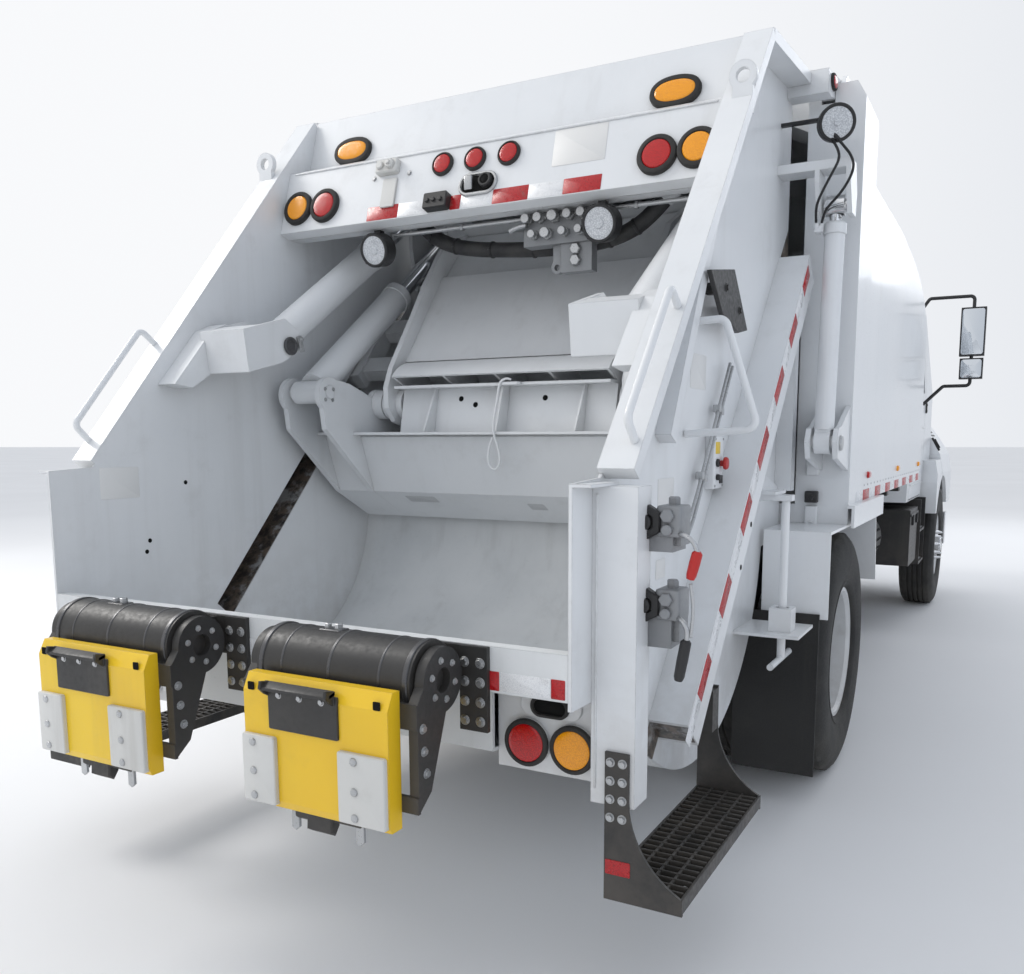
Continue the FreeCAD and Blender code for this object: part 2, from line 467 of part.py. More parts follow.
# ---------------------------------------------------------------- tailgate and hopper
def hop(r, a):
    return (HOP_C[0] + r * math.cos(math.radians(a)), HOP_C[1] + r * math.sin(math.radians(a)))
def arc_at_y(r, y):
    return (y, HOP_C[1] - math.sqrt(r * r - (y - HOP_C[0]) ** 2))
BELLY_END = 2092.0                          # rear end of the belly plate, behind it hang the tail lamp boxes
def belly_z(y):
    """Height of the belly plate's underside behind its round part."""
    z0 = arc_at_y(HOP_R_OUT, 1760)[1]
    return z0 + (640 - z0) * (y - 1760) / 400.0
SIDE = [(240, 2870), (890, 2810), (2080, 1366), (2240, 1357), (2240, 820), (BELLY_END, 815), (BELLY_END, belly_z(BELLY_END)), (1760, arc_at_y(HOP_R_OUT, 1760)[1]),
        ("arc", (1270, HOP_C[1] - HOP_R_OUT)), arc_at_y(HOP_R_OUT, 520), (240, 1060)]
perp = (-SLIDE_DIR[1], SLIDE_DIR[0])
def track_pt(y):
    t = (y - TRACK_P[0]) / SLIDE_DIR[0]
    return (y, TRACK_P[1] + t * SLIDE_DIR[1])
TRACK_TOP, TRACK_LOW = track_pt(330), track_pt(1540)
SHOE_W = 84.0
def side(x0=WALL):
    w = px(SIDE, WALL, WALL + T)
    w = w.cut(bar2(TRACK_TOP, TRACK_LOW, SHOE_W + 12, WALL - 5, WALL + 20))
    # flanges along the sloped rear edge and the top edge
    fl = [bar2((905, 2792), (2072, 1376), 40, WALL, FLANGE), bar2((240, 2848), (900, 2790), 40, WALL, FLANGE)]
    # slide track box on the outside
    tr = bar2(TRACK_TOP, track_pt(1690), 130, WALL + T, 1062).cut(bar2(track_pt(300), TRACK_LOW, SHOE_W + 12, WALL, 1050))
    # wing at the sill: top lip turned outward, rear post, stiffener
    wing = [box(WALL, 990, 2080, SILL_Y, 1349, 1357), box(WALL + T, 1060, 2045, 2130, 562, 1349)]
    # cylinder bracket on the inside of the wall
    bo = px([(1800, 1655), (1720, 1645), (1560, 1745), (1520, 1800), (1545, 1890), (1620, 1860)], 845, WALL)
    cheek = []
    for a, b in ((845, 865), (645, 665)):
        cheek.append(px([(1640, 1700), (1470, 1745), (1375, 1800), (1375, 1870), (1450, 1910), (1660, 1850)], a, b))
    tie = [px([(1545, 1735), (1640, 1700), (1660, 1850), (1560, 1878)], 645, 865)]
    pin = [cylx(640, 870, SLIDE_L[0], SLIDE_L[1], 27)]
    # lugs for the lift cylinder's upper pin
    qy, qz = LIFT_Q
    lug = [px([(qy - 40, qz - 40), (qy + 40, qz - 40), (qy + 100, qz + 70), (qy + 100, qz + 150), (qy - 10, qz + 150), (qy - 55, qz + 50)], a, b)
           for a, b in ((LIFT_X - 66, LIFT_X - 48), (LIFT_X + 48, LIFT_X + 66))]
    lugbase = [box(WALL + T, LIFT_X + 66, qy, qy + 100, qz + 115, qz + 150)]
    # hinge eye at the top front
    hin = [px([(300, 2780), (300, 2868), (60, 2905), (0, 2880), (0, 2835), (60, 2812)], 1051, 1099).cut(cylx(1000, 1150, TG_HINGE[0], TG_HINGE[1], 25.05)),
           box(WALL + T, 1099, 250, 330, 2780, 2868)]
    # outside stiffener ribs
    rib = [bar2((300, 1250), (300, 2060), 60, WALL + T, 1010), bar2((1300, 2220), (1700, 1460), 50, WALL + T, 990)]
    # lifting eye: plate across the flange with a round hole
    eye = box(966, 1032, 1135, 1155, 2470, 2600).fuse(cyl((1000, 1135, 2585), (0, 1, 0), 45, 20)).cut(cyl((1000, 1100, 2585), (0, 1, 0), 22, 80))
    fl.append(eye)
    body = fuse([w] + fl + [tr] + wing + [bo] + cheek + tie + pin + lug + lugbase + hin + rib)
    return body.cut(bar2(track_pt(300), TRACK_LOW, SHOE_W + 12, WALL - 5, 1050))
left_side = side()
out("hopper_left_side", left_side)

TAN = (1596.0, 603.0)
a1 = hop(HOP_R_IN, 176)
floor_in = px([a1, ("arc", (HOP_C[0] + HOP_R_IN * math.cos(math.radians(238)), HOP_C[1] + HOP_R_IN * math.sin(math.radians(238)))), TAN,
               (2200, SILL_Z), (2200, SILL_Z - 12), (TAN[0] + 6, TAN[1] - 10.4),
               ("arc", (HOP_C[0] + (HOP_R_IN + 12) * math.cos(math.radians(238)), HOP_C[1] + (HOP_R_IN + 12) * math.sin(math.radians(238)))),
               hop(HOP_R_IN + 12, 176)], -WALL, WALL)
front_lip = px([hop(HOP_R_IN, 176), hop(HOP_R_IN + 12, 176), (600, 1200), (240, 1200), (240, 1215), (628, 1215)], -WALL, WALL)
belly = px([arc_at_y(HOP_R_OUT, 520), ("arc", (1270, HOP_C[1] - HOP_R_OUT)), arc_at_y(HOP_R_OUT, 1760), (BELLY_END, belly_z(BELLY_END)), (BELLY_END, belly_z(BELLY_END) + 10.4),
            (1757, arc_at_y(HOP_R_OUT - 10, 1757)[1]), ("arc", (1270, HOP_C[1] - HOP_R_OUT + 10)), arc_at_y(HOP_R_OUT - 10, 530)], -WALL, WALL)
LAMP_X0, LAMP_X1, LAMP_Y0, LAMP_Y1 = 638.0, WALL, 1990.0, 2062.0     # tail lamp boxes
belly = belly.cut(box(LAMP_X0, WALL + 1, LAMP_Y0, BELLY_END + 1, 500, 812)).cut(box(-WALL - 1, -LAMP_X0, LAMP_Y0, BELLY_END + 1, 500, 812))
sill = box(-WALL, WALL, 2200, SILL_Y, 841, SILL_Z).cut(box(-WALL - 1, WALL + 1, 2190, SILL_Y - T, 851, SILL_Z - T))
sill = fuse([sill, box(-LAMP_X0, LAMP_X0, BELLY_END - 10, BELLY_END, belly_z(BELLY_END), 882)])
frontp = px([(240, 1200), (252, 1200), (252, 1090), (530, 1060), (520, 1045), (240, 1060)], -WALL, WALL)
hf = fuse([floor_in, front_lip, belly, sill, frontp])
out("hopper_floor", hf)

# header panel across the top rear, its roof and lower cross bar
hdr = px([(900, 2806), (955, 2602), (1080, 2552), (1150, 2300), (1100, 2285), (1096, 2294), (1138, 2306), (1070, 2543), (946, 2593), (890, 2800),
          (240, 2856), (240, 2866)], -WALL, WALL)
bar = box(-WALL, WALL, 1030, 1090, 2285, 2345).cut(box(-WALL - 1, WALL + 1, 1038, 1082, 2293, 2337))
vb = [box(x - 12, x + 12, 1040, 1080, 2345, 2540) for x in (-600, 0, 600)]
# hose bundle of the packer valves: hangs under the header from a clamp on the left to a clamp on the right
HOSE_R = 29.0
HOSE = [(404, 925, 2352), (352, 925, 2294), (270, 925, 2240), (150, 925, 2208), (10, 925, 2192), (-140, 925, 2180), (-290, 925, 2175), (-400, 925, 2180), (-500, 925, 2196),
        (-596, 925, 2238), (-664, 925, 2304)]
def sleeve(p, q, r, h):
    """Round sleeve on from p, away from q."""
    d = (V(*p) - V(*q)).normalize()
    return Part.makeCylinder(r, h, V(*p), d)
clamps = [sleeve(HOSE[0], HOSE[1], 34, 46), box(396, 452, 900, 1032, 2376, 2390), box(396, 452, 1020, 1032, 2330, 2390),
          sleeve(HOSE[-1], HOSE[-2], 34, 46), box(-706, -658, 900, 1032, 2316, 2332)]
out("header_panel", fuse([hdr, bar] + vb + clamps))

# riding steps: curved end plates and a grated tread on each side
def step():
    y0, y1 = 1400, 2139
    pl = [py([(985, zt), (985, 320), (1190, 320), (1190, 360), ("arc", (1085, 455)), (1048, 600), (1048, zt)], y, y + 8) for y, zt in ((y0, 697), (y1 - 8, 701))]
    tr = box(985, 1190, y0, y1, 338, 348)
    rails_ = [box(x, x + 7, y0, y1, 325, 362) for x in (985, 1034, 1083, 1132, 1183)]
    strut = [box(WALL + T, 1048, y0 + 8, y0 + 60, 560, 690)]
    return fuse(pl + [tr] + rails_ + strut)
st = step()
out("riding_steps", [st, mir(st)])

# tail lamp boxes under the sill
def lbox():
    b = box(LAMP_X0, LAMP_X1, LAMP_Y0, LAMP_Y1, 585, 805).cut(box(LAMP_X0 + 6, LAMP_X1 - 6, LAMP_Y0 + 6, LAMP_Y1 - 6, 591, 799))
    lamps = [cyl((x, LAMP_Y1, 665), (0, 1, 0), 65, 10) for x in (731, 866)]
    lamps.append(fuse([box(742, 857, LAMP_Y1, LAMP_Y1 + 8, 738, 800)] + [cyl((x, LAMP_Y1, 769), (0, 1, 0), 31, 8) for x in (742, 857)]))
    return fuse([b] + lamps)
lb = lbox()
out("tail_lamp_boxes", [lb, mir(lb)])

# grab handles
def flange_handle(s):
    return bent([(s * 1010, 2012, 1434), (s * 1010, 2085, 1508), (s * 1010, 1800, 1853), (s * 1010, 1716, 1790)], 11, 25)
loop = bent([(-948, 1480, 1800), (-1062, 1480, 1805), (-1168, 1480, 1487), (-948, 1480, 1475)], 11, 28)
out("grab_handles", [flange_handle(1), flange_handle(-1), loop])

# control levers, valve box and panel on the right side
ctrl = []
for z0 in (1190, 955):
    ctrl.append(fuse([box(-1120, -943, 1960, 2055, z0, z0 + 90), box(-1135, -1120, 1975, 2040, z0 + 15, z0 + 75)]))

# tailgate clamps: a vertical screw tube with a T handle, its bracket plate and the gusset above
clamp = fuse([cyl((1100, 800, 660), (0, 0, 1), 15, 590), cyl((1100, 670, 660), (0, 1, 0), 12, 290),
              box(WALL + T, 1180, 640, 890, 752, 764), box(1060, 1140, 760, 840, 764, 850).cut(cyl((1100, 800, 700), (0, 0, 1), 24, 200)),
              px([(260, 1250), (860, 1250), (860, 1400), (820, 1400)], WALL + T, 955), px([(700, 1262), (860, 1262), (860, 1274), (700, 1274)], WALL + T, 1075),
              box(WALL + T, 1125, 775, 825, 1240, 1262)])
out("tailgate_clamps", both([clamp]))

# work lamps: two under the header, one ball lamp on the right shoulder
lam = []
for x in (489, -489):
    lam.append(fuse([cyl((x, 1045, 2216), (0, 0.98, -0.20), 64, 58).cut(box(x - 80, x + 80, 1020, 1100, 2285, 2320)), box(x - 14, x + 14, 1052, 1080, 2240, 2285)]))
# the two leads of the ball lamp hang in a loop beside it and end in sleeves on the lift cylinder's lug
LEAD_R = 5.0
LEADS = ([(-1150, 462, 2556), (-1172, 482, 2522), (-1184, 508, 2478), (-1168, 540, 2428), (-1142, 546, 2376), (-1114, 520, 2336), (-1098, 476, 2312), (-1094, 440, 2278)],
         [(-1170, 462, 2558), (-1192, 466, 2530), (-1218, 478, 2496), (-1236, 502, 2450), (-1224, 516, 2400), (-1190, 508, 2354), (-1154, 482, 2330), (-1126, 452, 2312), (-1112, 424, 2278)])
def stub(p, q, r, h):
    """Sleeve that ends at p, away from q."""
    d = (V(*p) - V(*q)).normalize()
    return Part.makeCylinder(r, h, V(*p), d)
lam.append(fuse([cyl((-1141, 402, 2636), (-0.30, 0.92, -0.25), 66, 70), box(-1110, -WALL - T, 398, 418, 2650, 2662)] +
                [stub(L[0], L[1], 8, 36) for L in LEADS]))
out("work_lamps", lam)
for nm, L in zip(("lamp_lead_inner", "lamp_lead_outer"), LEADS):
    out(nm, cord_tube(L, LEAD_R))
out("packer_hose_bundle", cord_tube(HOSE, HOSE_R))
lead_sleeves = [stub(L[-1], L[-2], 9, 28) for L in LEADS] + [box(-1114, -1084, 398, 428, 2244, 2268), box(-1098, -1084, 365, 428, 2244, 2320)]
out("hopper_right_side", fuse([mir(left_side)] + lead_sleeves))

# valve bank behind the header
vbk = fuse([box(-430, -150, 966, 1030, 2168, 2296), box(-424, -300, 974, 1020, 2066, 2168), box(-300, -262, 985, 1008, 2090, 2168).fuse(cyl((-278, 985, 2090), (0, 1, 0), 24, 23)).cut(cyl((-278, 980, 2088), (0, 1, 0), 11, 40))])
out("hydraulic_valves", ctrl + [vbk])

# ---------------------------------------------------------------- packer
def dpt(p, s):
    return (p[0] + SLIDE_DIR[0] * s, p[1] + SLIDE_DIR[1] * s)
# slide carriage: face panel, side cheeks, top beam, shoes in the tracks
car = []
HINGE_R = 180.0                             # clear space round the blade hinge in the face panel
facep = px([(345, 2400), (545, 2172), (560, 2186), (925, 1690), (905, 1672), (800, 1690), (330, 2260), (290, 2340)], -530, 530)
car.append(facep.cut(cylx(-529, 529, BLADE_H[0], BLADE_H[1], HINGE_R)))
CHEEK = [(355, 2410), (550, 2310), (690, 2130), (770, 2006), (943, 1761), (980, 1676), (976, 1590), (930, 1535), (870, 1520), (800, 1540),
         (760, 1600), (740, 1640), (250, 2190), (200, 2400)]
car += both([px(CHEEK, 530, 555)])
# boss round the blade hinge
car += both([tubex(500, 600, BLADE_H[0], BLADE_H[1], 62, 35.05)])
hole = both([cylx(499, 601, BLADE_H[0], BLADE_H[1], 35.05)])
# top beam and the horns for both cylinders of a side, tied above and below the rods
car.append(box(-665, 665, 200, 330, 2390, 2450))
HORN = [(235, 2185), (305, 2185), (345, 2380), (345, 2560), (300, 2680), (235, 2745), (135, 2745), (118, 2700), (118, 2420), (160, 2370)]
for a, b in ((645, 665), (845, 865)):
    car += both([px(HORN, a, b)])
car += both([box(645, 865, 118, 140, 2510, 2605), box(645, 865, 240, 300, 2190, 2210)])
# shoes and their cross arms
c = track_pt(560)
car += both([bar2(dpt(c, -200), dpt(c, 200), SHOE_W, WALL - 40, 1045)])
for y in (470, 640):
    c = track_pt(y)
    car += both([bar2(dpt(c, -45), dpt(c, 45), 60, 540, WALL - 38)])
carriage = fuse(car).cut(hole[0]).cut(hole[1])
out("packer_carriage", carriage)

# sweep blade: two ears a side, hinge shafts, face plate, shelf, and a round cover over the hinge gap with gussets
bl = []
hy, hz = BLADE_H
ear = [(1160, 1702), ("arc", (1262, 1655)), (1238, 1585), (1225, 1500), (930, 1235), (704, 1112), (690, 1122), (760, 1400), (808, 1590), ("arc", (870, 1674)), (930, 1640), (1080, 1690)]
for a, b in ((845, 870), (655, 680)):
    bl += both([px(ear, a, b)])
BLADE_FACE = [(690, 1124), (704, 1112), (930, 1236), (1012, 1470), (1000, 1482), (912, 1258), (716, 1142), (788, 1478), (776, 1478)]
bl.append(px(BLADE_FACE, -845, 845))
bl.append(box(-845, 845, 776, 1062, 1478, 1490))
def pol(r, a):
    return (hy + r * math.cos(math.radians(a)), hz + r * math.sin(math.radians(a)))
COVER = (38.0, 150.0, 165.0, 173.0)         # from, to (degrees about the hinge), inner and outer radius
c0, c1, ri, ro = COVER
bl.append(px([pol(ri, c0), ("arc", pol(ri, (c0 + c1) / 2)), pol(ri, c1), pol(ro, c1), ("arc", pol(ro, (c0 + c1) / 2)), pol(ro, c0)], -490, 490))
# upper flange, its web down to the shelf, small gussets behind and before the web
bl.append(box(-490, 490, 905, 990, 1668, 1680))
bl.append(px([(905, 1672), (917, 1672), (955, 1488), (943, 1488)], -490, 490))
for x in (-484, -240, 0, 240, 484):
    bl.append(px([(hy - 80, 1484), (950, 1484), (912, 1676), pol(ro - 2, c0), ("arc", pol(ro - 2, (c0 + c1) / 2)), pol(ro - 2, c1)], x - 6, x + 6))
for x, w in ((-360, 20), (-20, 80), (320, 20)):
    bl.append(px([(915, 1670), (915 + 55 if w > 50 else 935, 1670), (1030, 1488), (950, 1488)], x - 5, x + 5))
bl += both([cylx(505, 680, hy, hz, 35), cylx(605, 660, hy, hz, 62),
            cylx(650, 890, BLADE_EAR[0], BLADE_EAR[1], 27)])
blade = fuse(bl)
out("sweep_blade", blade)

# cylinders: barrels are tubes with an end eye, rods slide in them
def barrel(a, b, x, r, bore, back, mouth, eye_w):
    """Barrel pinned at a, pointing at b, open mouth at distance mouth from a."""
    dy, dz = b[0] - a[0], b[1] - a[1]
    L = math.hypot(dy, dz)
    u = (dy / L, dz / L)
    s = cyl((x, a[0] + u[0] * back, a[1] + u[1] * back), (0, u[0], u[1]), r, mouth - back)
    s = s.cut(cyl((x, a[0] + u[0] * (back + 15), a[1] + u[1] * (back + 15)), (0, u[0], u[1]), bore, mouth))
    eye = cylx(x - eye_w / 2, x + eye_w / 2, a[0], a[1], 46).fuse(
        bar2(a, (a[0] + u[0] * (back + 5), a[1] + u[1] * (back + 5)), 60, x - eye_w / 2, x + eye_w / 2))
    collar = cyl((x, a[0] + u[0] * (mouth - 45), a[1] + u[1] * (mouth - 45)), (0, u[0], u[1]), r + 5, 40).cut(
        cyl((x, a[0] + u[0] * (mouth - 60), a[1] + u[1] * (mouth - 60)), (0, u[0], u[1]), bore, 80))
    return s.fuse(collar).fuse(eye), u, L
def rod(a, b, x, r, length, eye_w):
    """Rod with its eye at b, running length back towards a."""
    dy, dz = b[0] - a[0], b[1] - a[1]
    L = math.hypot(dy, dz)
    u = (dy / L, dz / L)
    s = cyl((x, b[0] - u[0] * length, b[1] - u[1] * length), (0, u[0], u[1]), r, length - 20)
    eye = cylx(x - eye_w / 2, x + eye_w / 2, b[0], b[1], 42)
    return s.fuse(eye), u, L
# name, barrel pin, rod pin, x, barrel radius, bore, rod radius, barrel start, mouth, rod length, pin radius
# rod length, pin radius at the barrel end, eye width of the barrel, eye width and half pin length of the rod
CYLS = (("slide_cylinder", SLIDE_L, SLIDE_U, CYL_X, 62, 42, 36, 35, 830, 820, 27, 150, 130, 86),
        ("sweep_cylinder", BLADE_EAR, SWEEP_B, CYL_X, 62, 42, 36, 40, 772, 765, 27, 130, 130, 86),
        ("lift_cylinder", LIFT_P, LIFT_Q, LIFT_X, 38, 27, 23, 45, 838, 838, 24.9, 60, 70, 44))
for nm, a, b, x, rb, bore, rr, back, mouth, rl, pa, ew, rw, hp in CYLS:
    B, u, L = barrel(a, b, x, rb, bore, back, mouth, ew)
    B = B.cut(cylx(x - 100, x + 100, a[0], a[1], pa + 0.1))
    R, u, L = rod(a, b, x, rr, rl, rw)
    R = R.fuse(cylx(x - hp, x + hp, b[0], b[1], 24))
    out(nm + "_barrels", both([B.removeSplitter()]))
    out(nm + "_rods", both([R.removeSplitter()]))

# ---------------------------------------------------------------- cart lifters on the sill
mnt, arms = [], {}
for s, nm in ((1, "left"), (-1, "right")):
    xc = s * LIFTER_X
    drum = cylx(xc - 235, xc + 235, DRUM[0], DRUM[1], DRUM_R)
    pl = [box(xc - 320, xc - 240, SILL_Y, SILL_Y + 14, 740, 955), box(xc + 240, xc + 320, SILL_Y, SILL_Y + 14, 740, 955)]
    neck = box(xc - 200, xc + 200, SILL_Y, DRUM[0], 845, 950)
    back = box(xc - 320, xc + 320, SILL_Y, SILL_Y + 12, 845, 955)
    shaft = cylx(xc - 246, xc + 246, DRUM[0], DRUM[1], 30)
    mnt.append(fuse([drum, neck, back, shaft] + pl))
    ar = []
    for e in (-1, 1):
        xa, xb = sorted((xc + e * 241, xc + e * 267))
        ar.append(cylx(xa, xb, DRUM[0], DRUM[1], 80).cut(cylx(xa - 1, xb + 1, DRUM[0], DRUM[1], 30.1)))
        ar.append(px([(DRUM[0] - 40, DRUM[1] - 30), (DRUM[0] - 10, DRUM[1] - 78), (2420, 640), (2470, 600), (2470, 860), (DRUM[0] + 50, DRUM[1] + 40)], xa, xb)
                  .cut(cylx(xa - 1, xb + 1, DRUM[0], DRUM[1], 50)))
    plate_b = box(xc - 267, xc + 267, 2464, 2474, 600, 640)
    plate_c = box(xc - 267, xc + 267, 2464, 2474, 800, 860)
    out("%s_lifter_arms" % nm, fuse(ar + [plate_b, plate_c]))
    yp = px([(2474, 560), (2512, 560), (2520, 580), (2520, 850), (2500, 890), (2474, 890)], xc - 220, xc + 220)
    out("%s_lifter_plate" % nm, yp)
out("lifter_drums", mnt)

# pieces fixed to each other within one body: the first is cut back to the surface of the second
TRIMS = (("fuel_tank", "cab_shell"), ("side_steps_and_tanks", "fuel_tank"), ("grab_handles", "hopper_left_side"), ("grab_handles", "hopper_right_side"),
         ("hydraulic_valves", "header_panel"), ("hydraulic_valves", "hopper_right_side"), ("tailgate_clamps", "hopper_left_side"), ("tailgate_clamps", "hopper_right_side"),
         ("left_mirrors", "left_door"), ("right_mirrors", "right_door"), ("tail_lamp_boxes", "hopper_floor"), ("work_lamps", "header_panel"),
         ("riding_steps", "hopper_left_side"), ("riding_steps", "hopper_right_side"))
for a, b in TRIMS:
    tool, done = Part.makeCompound(RAW[b]), []
    for s in RAW[a]:
        if s.common(tool).Volume > 0.5:
            s = s.cut(tool)
            s = max(s.Solids, key=lambda k: k.Volume).removeSplitter()
        done.append(s)
    RAW[a] = done
NODES = {}
for name, shapes in RAW.items():
    c = (shapes[0] if len(shapes) == 1 else Part.makeCompound(shapes)).copy()
    c.translate(V(0, SHIFT_Y, 0))
    c.exportStep("parts/%s.step" % name)
    NODES[name] = c

tot = sum(s.Volume for s in NODES.values()) / 1e9
bb = None
for s in NODES.values():
    bb = s.BoundBox if bb is None else bb.united(s.BoundBox) if hasattr(bb, "united") else bb
allc = Part.makeCompound(list(NODES.values()))
print("nodes", len(NODES), "volume m3", round(tot, 3), allc.BoundBox)
for n, s in NODES.items():
    if not s.isValid():
        print("INVALID", n)
    for k in s.Solids:
        if k.Volume < 100:
            print("small", n, k.Volume)
    if len(s.Solids) > 1:
        print(n, "solids", len(s.Solids))
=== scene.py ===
import bpy, bmesh, json, math
from mathutils import Vector, Matrix
from mathutils.bvhtree import BVHTree


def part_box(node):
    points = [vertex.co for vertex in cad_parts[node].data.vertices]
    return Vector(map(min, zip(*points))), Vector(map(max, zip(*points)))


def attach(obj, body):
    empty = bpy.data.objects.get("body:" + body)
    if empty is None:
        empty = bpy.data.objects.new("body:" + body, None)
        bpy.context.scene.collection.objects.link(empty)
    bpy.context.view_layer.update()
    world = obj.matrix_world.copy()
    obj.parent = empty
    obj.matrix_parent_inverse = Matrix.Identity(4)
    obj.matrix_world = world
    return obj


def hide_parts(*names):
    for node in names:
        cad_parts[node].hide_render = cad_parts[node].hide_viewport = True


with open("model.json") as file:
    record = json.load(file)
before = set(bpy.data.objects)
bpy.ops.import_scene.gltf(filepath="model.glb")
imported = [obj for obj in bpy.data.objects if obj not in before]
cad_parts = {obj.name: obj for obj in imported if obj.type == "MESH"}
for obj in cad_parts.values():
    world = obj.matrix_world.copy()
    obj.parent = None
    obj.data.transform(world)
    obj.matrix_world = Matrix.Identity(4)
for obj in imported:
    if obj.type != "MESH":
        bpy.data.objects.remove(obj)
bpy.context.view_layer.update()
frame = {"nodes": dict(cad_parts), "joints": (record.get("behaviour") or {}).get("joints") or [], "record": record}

N = frame["nodes"]
SC = bpy.context.scene
COL = SC.collection
DY = 1.610                       # rear axle to the middle of the truck


def T(x, y, z):
    return Vector((x, y + DY, z))


# ---------------------------------------------------------------- camera
cam = bpy.data.cameras.new("camera")
cam_ob = bpy.data.objects.new("camera", cam)
COL.objects.link(cam_ob)
cam.sensor_width = 36.0
cam.lens = 31.94
cam.shift_x = -0.0324
cam.shift_y = 0.0747
cam.clip_start = 0.05
cam.clip_end = 200.0
yaw, pitch = math.radians(27.616), math.radians(7.71)
cam_ob.location = (-1.8486, 5.7149, 1.4555)
cam_ob.rotation_euler = Vector((math.sin(yaw) * math.cos(pitch), -math.cos(yaw) * math.cos(pitch),
                                -math.sin(pitch))).to_track_quat('-Z', 'Y').to_euler()
SC.camera = cam_ob


# ---------------------------------------------------------------- materials
def mix(nt, fac, a, b, mode='MIX'):
    m = nt.nodes.new('ShaderNodeMix')
    m.data_type = 'RGBA'
    m.blend_type = mode
    m.clamp_result = True
    for s, v in ((m.inputs[0], fac), (m.inputs[6], a), (m.inputs[7], b)):
        if hasattr(v, 'links'):
            nt.links.new(v, s)
        elif isinstance(v, (tuple, list)):
            s.default_value = tuple(v) + (1,) * (4 - len(v))
        else:
            s.default_value = v
    return m.outputs[2]


def ramp(nt, src, lo, hi, a=0.0, b=1.0):
    m = nt.nodes.new('ShaderNodeMapRange')
    m.interpolation_type = 'SMOOTHSTEP'
    nt.links.new(src, m.inputs[0])
    m.inputs[1].default_value, m.inputs[2].default_value = lo, hi
    m.inputs[3].default_value, m.inputs[4].default_value = a, b
    return m.outputs[0]


def noise_at(nt, co, scale, detail=4.0, rough=.55, stretch=None):
    if stretch:
        mp = nt.nodes.new('ShaderNodeMapping')
        mp.inputs['Scale'].default_value = stretch
        nt.links.new(co, mp.inputs['Vector'])
        co = mp.outputs[0]
    n = nt.nodes.new('ShaderNodeTexNoise')
    n.inputs['Scale'].default_value = scale
    n.inputs['Detail'].default_value = detail
    n.inputs['Roughness'].default_value = rough
    nt.links.new(co, n.inputs['Vector'])
    return n.outputs[0]


def mul(nt, a, b, op='MULTIPLY'):
    m = nt.nodes.new('ShaderNodeMath')
    m.operation = op
    m.use_clamp = True
    for s, v in ((m.inputs[0], a), (m.inputs[1], b)):
        if hasattr(v, 'links'):
            nt.links.new(v, s)
        else:
            s.default_value = v
    return m.outputs[0]


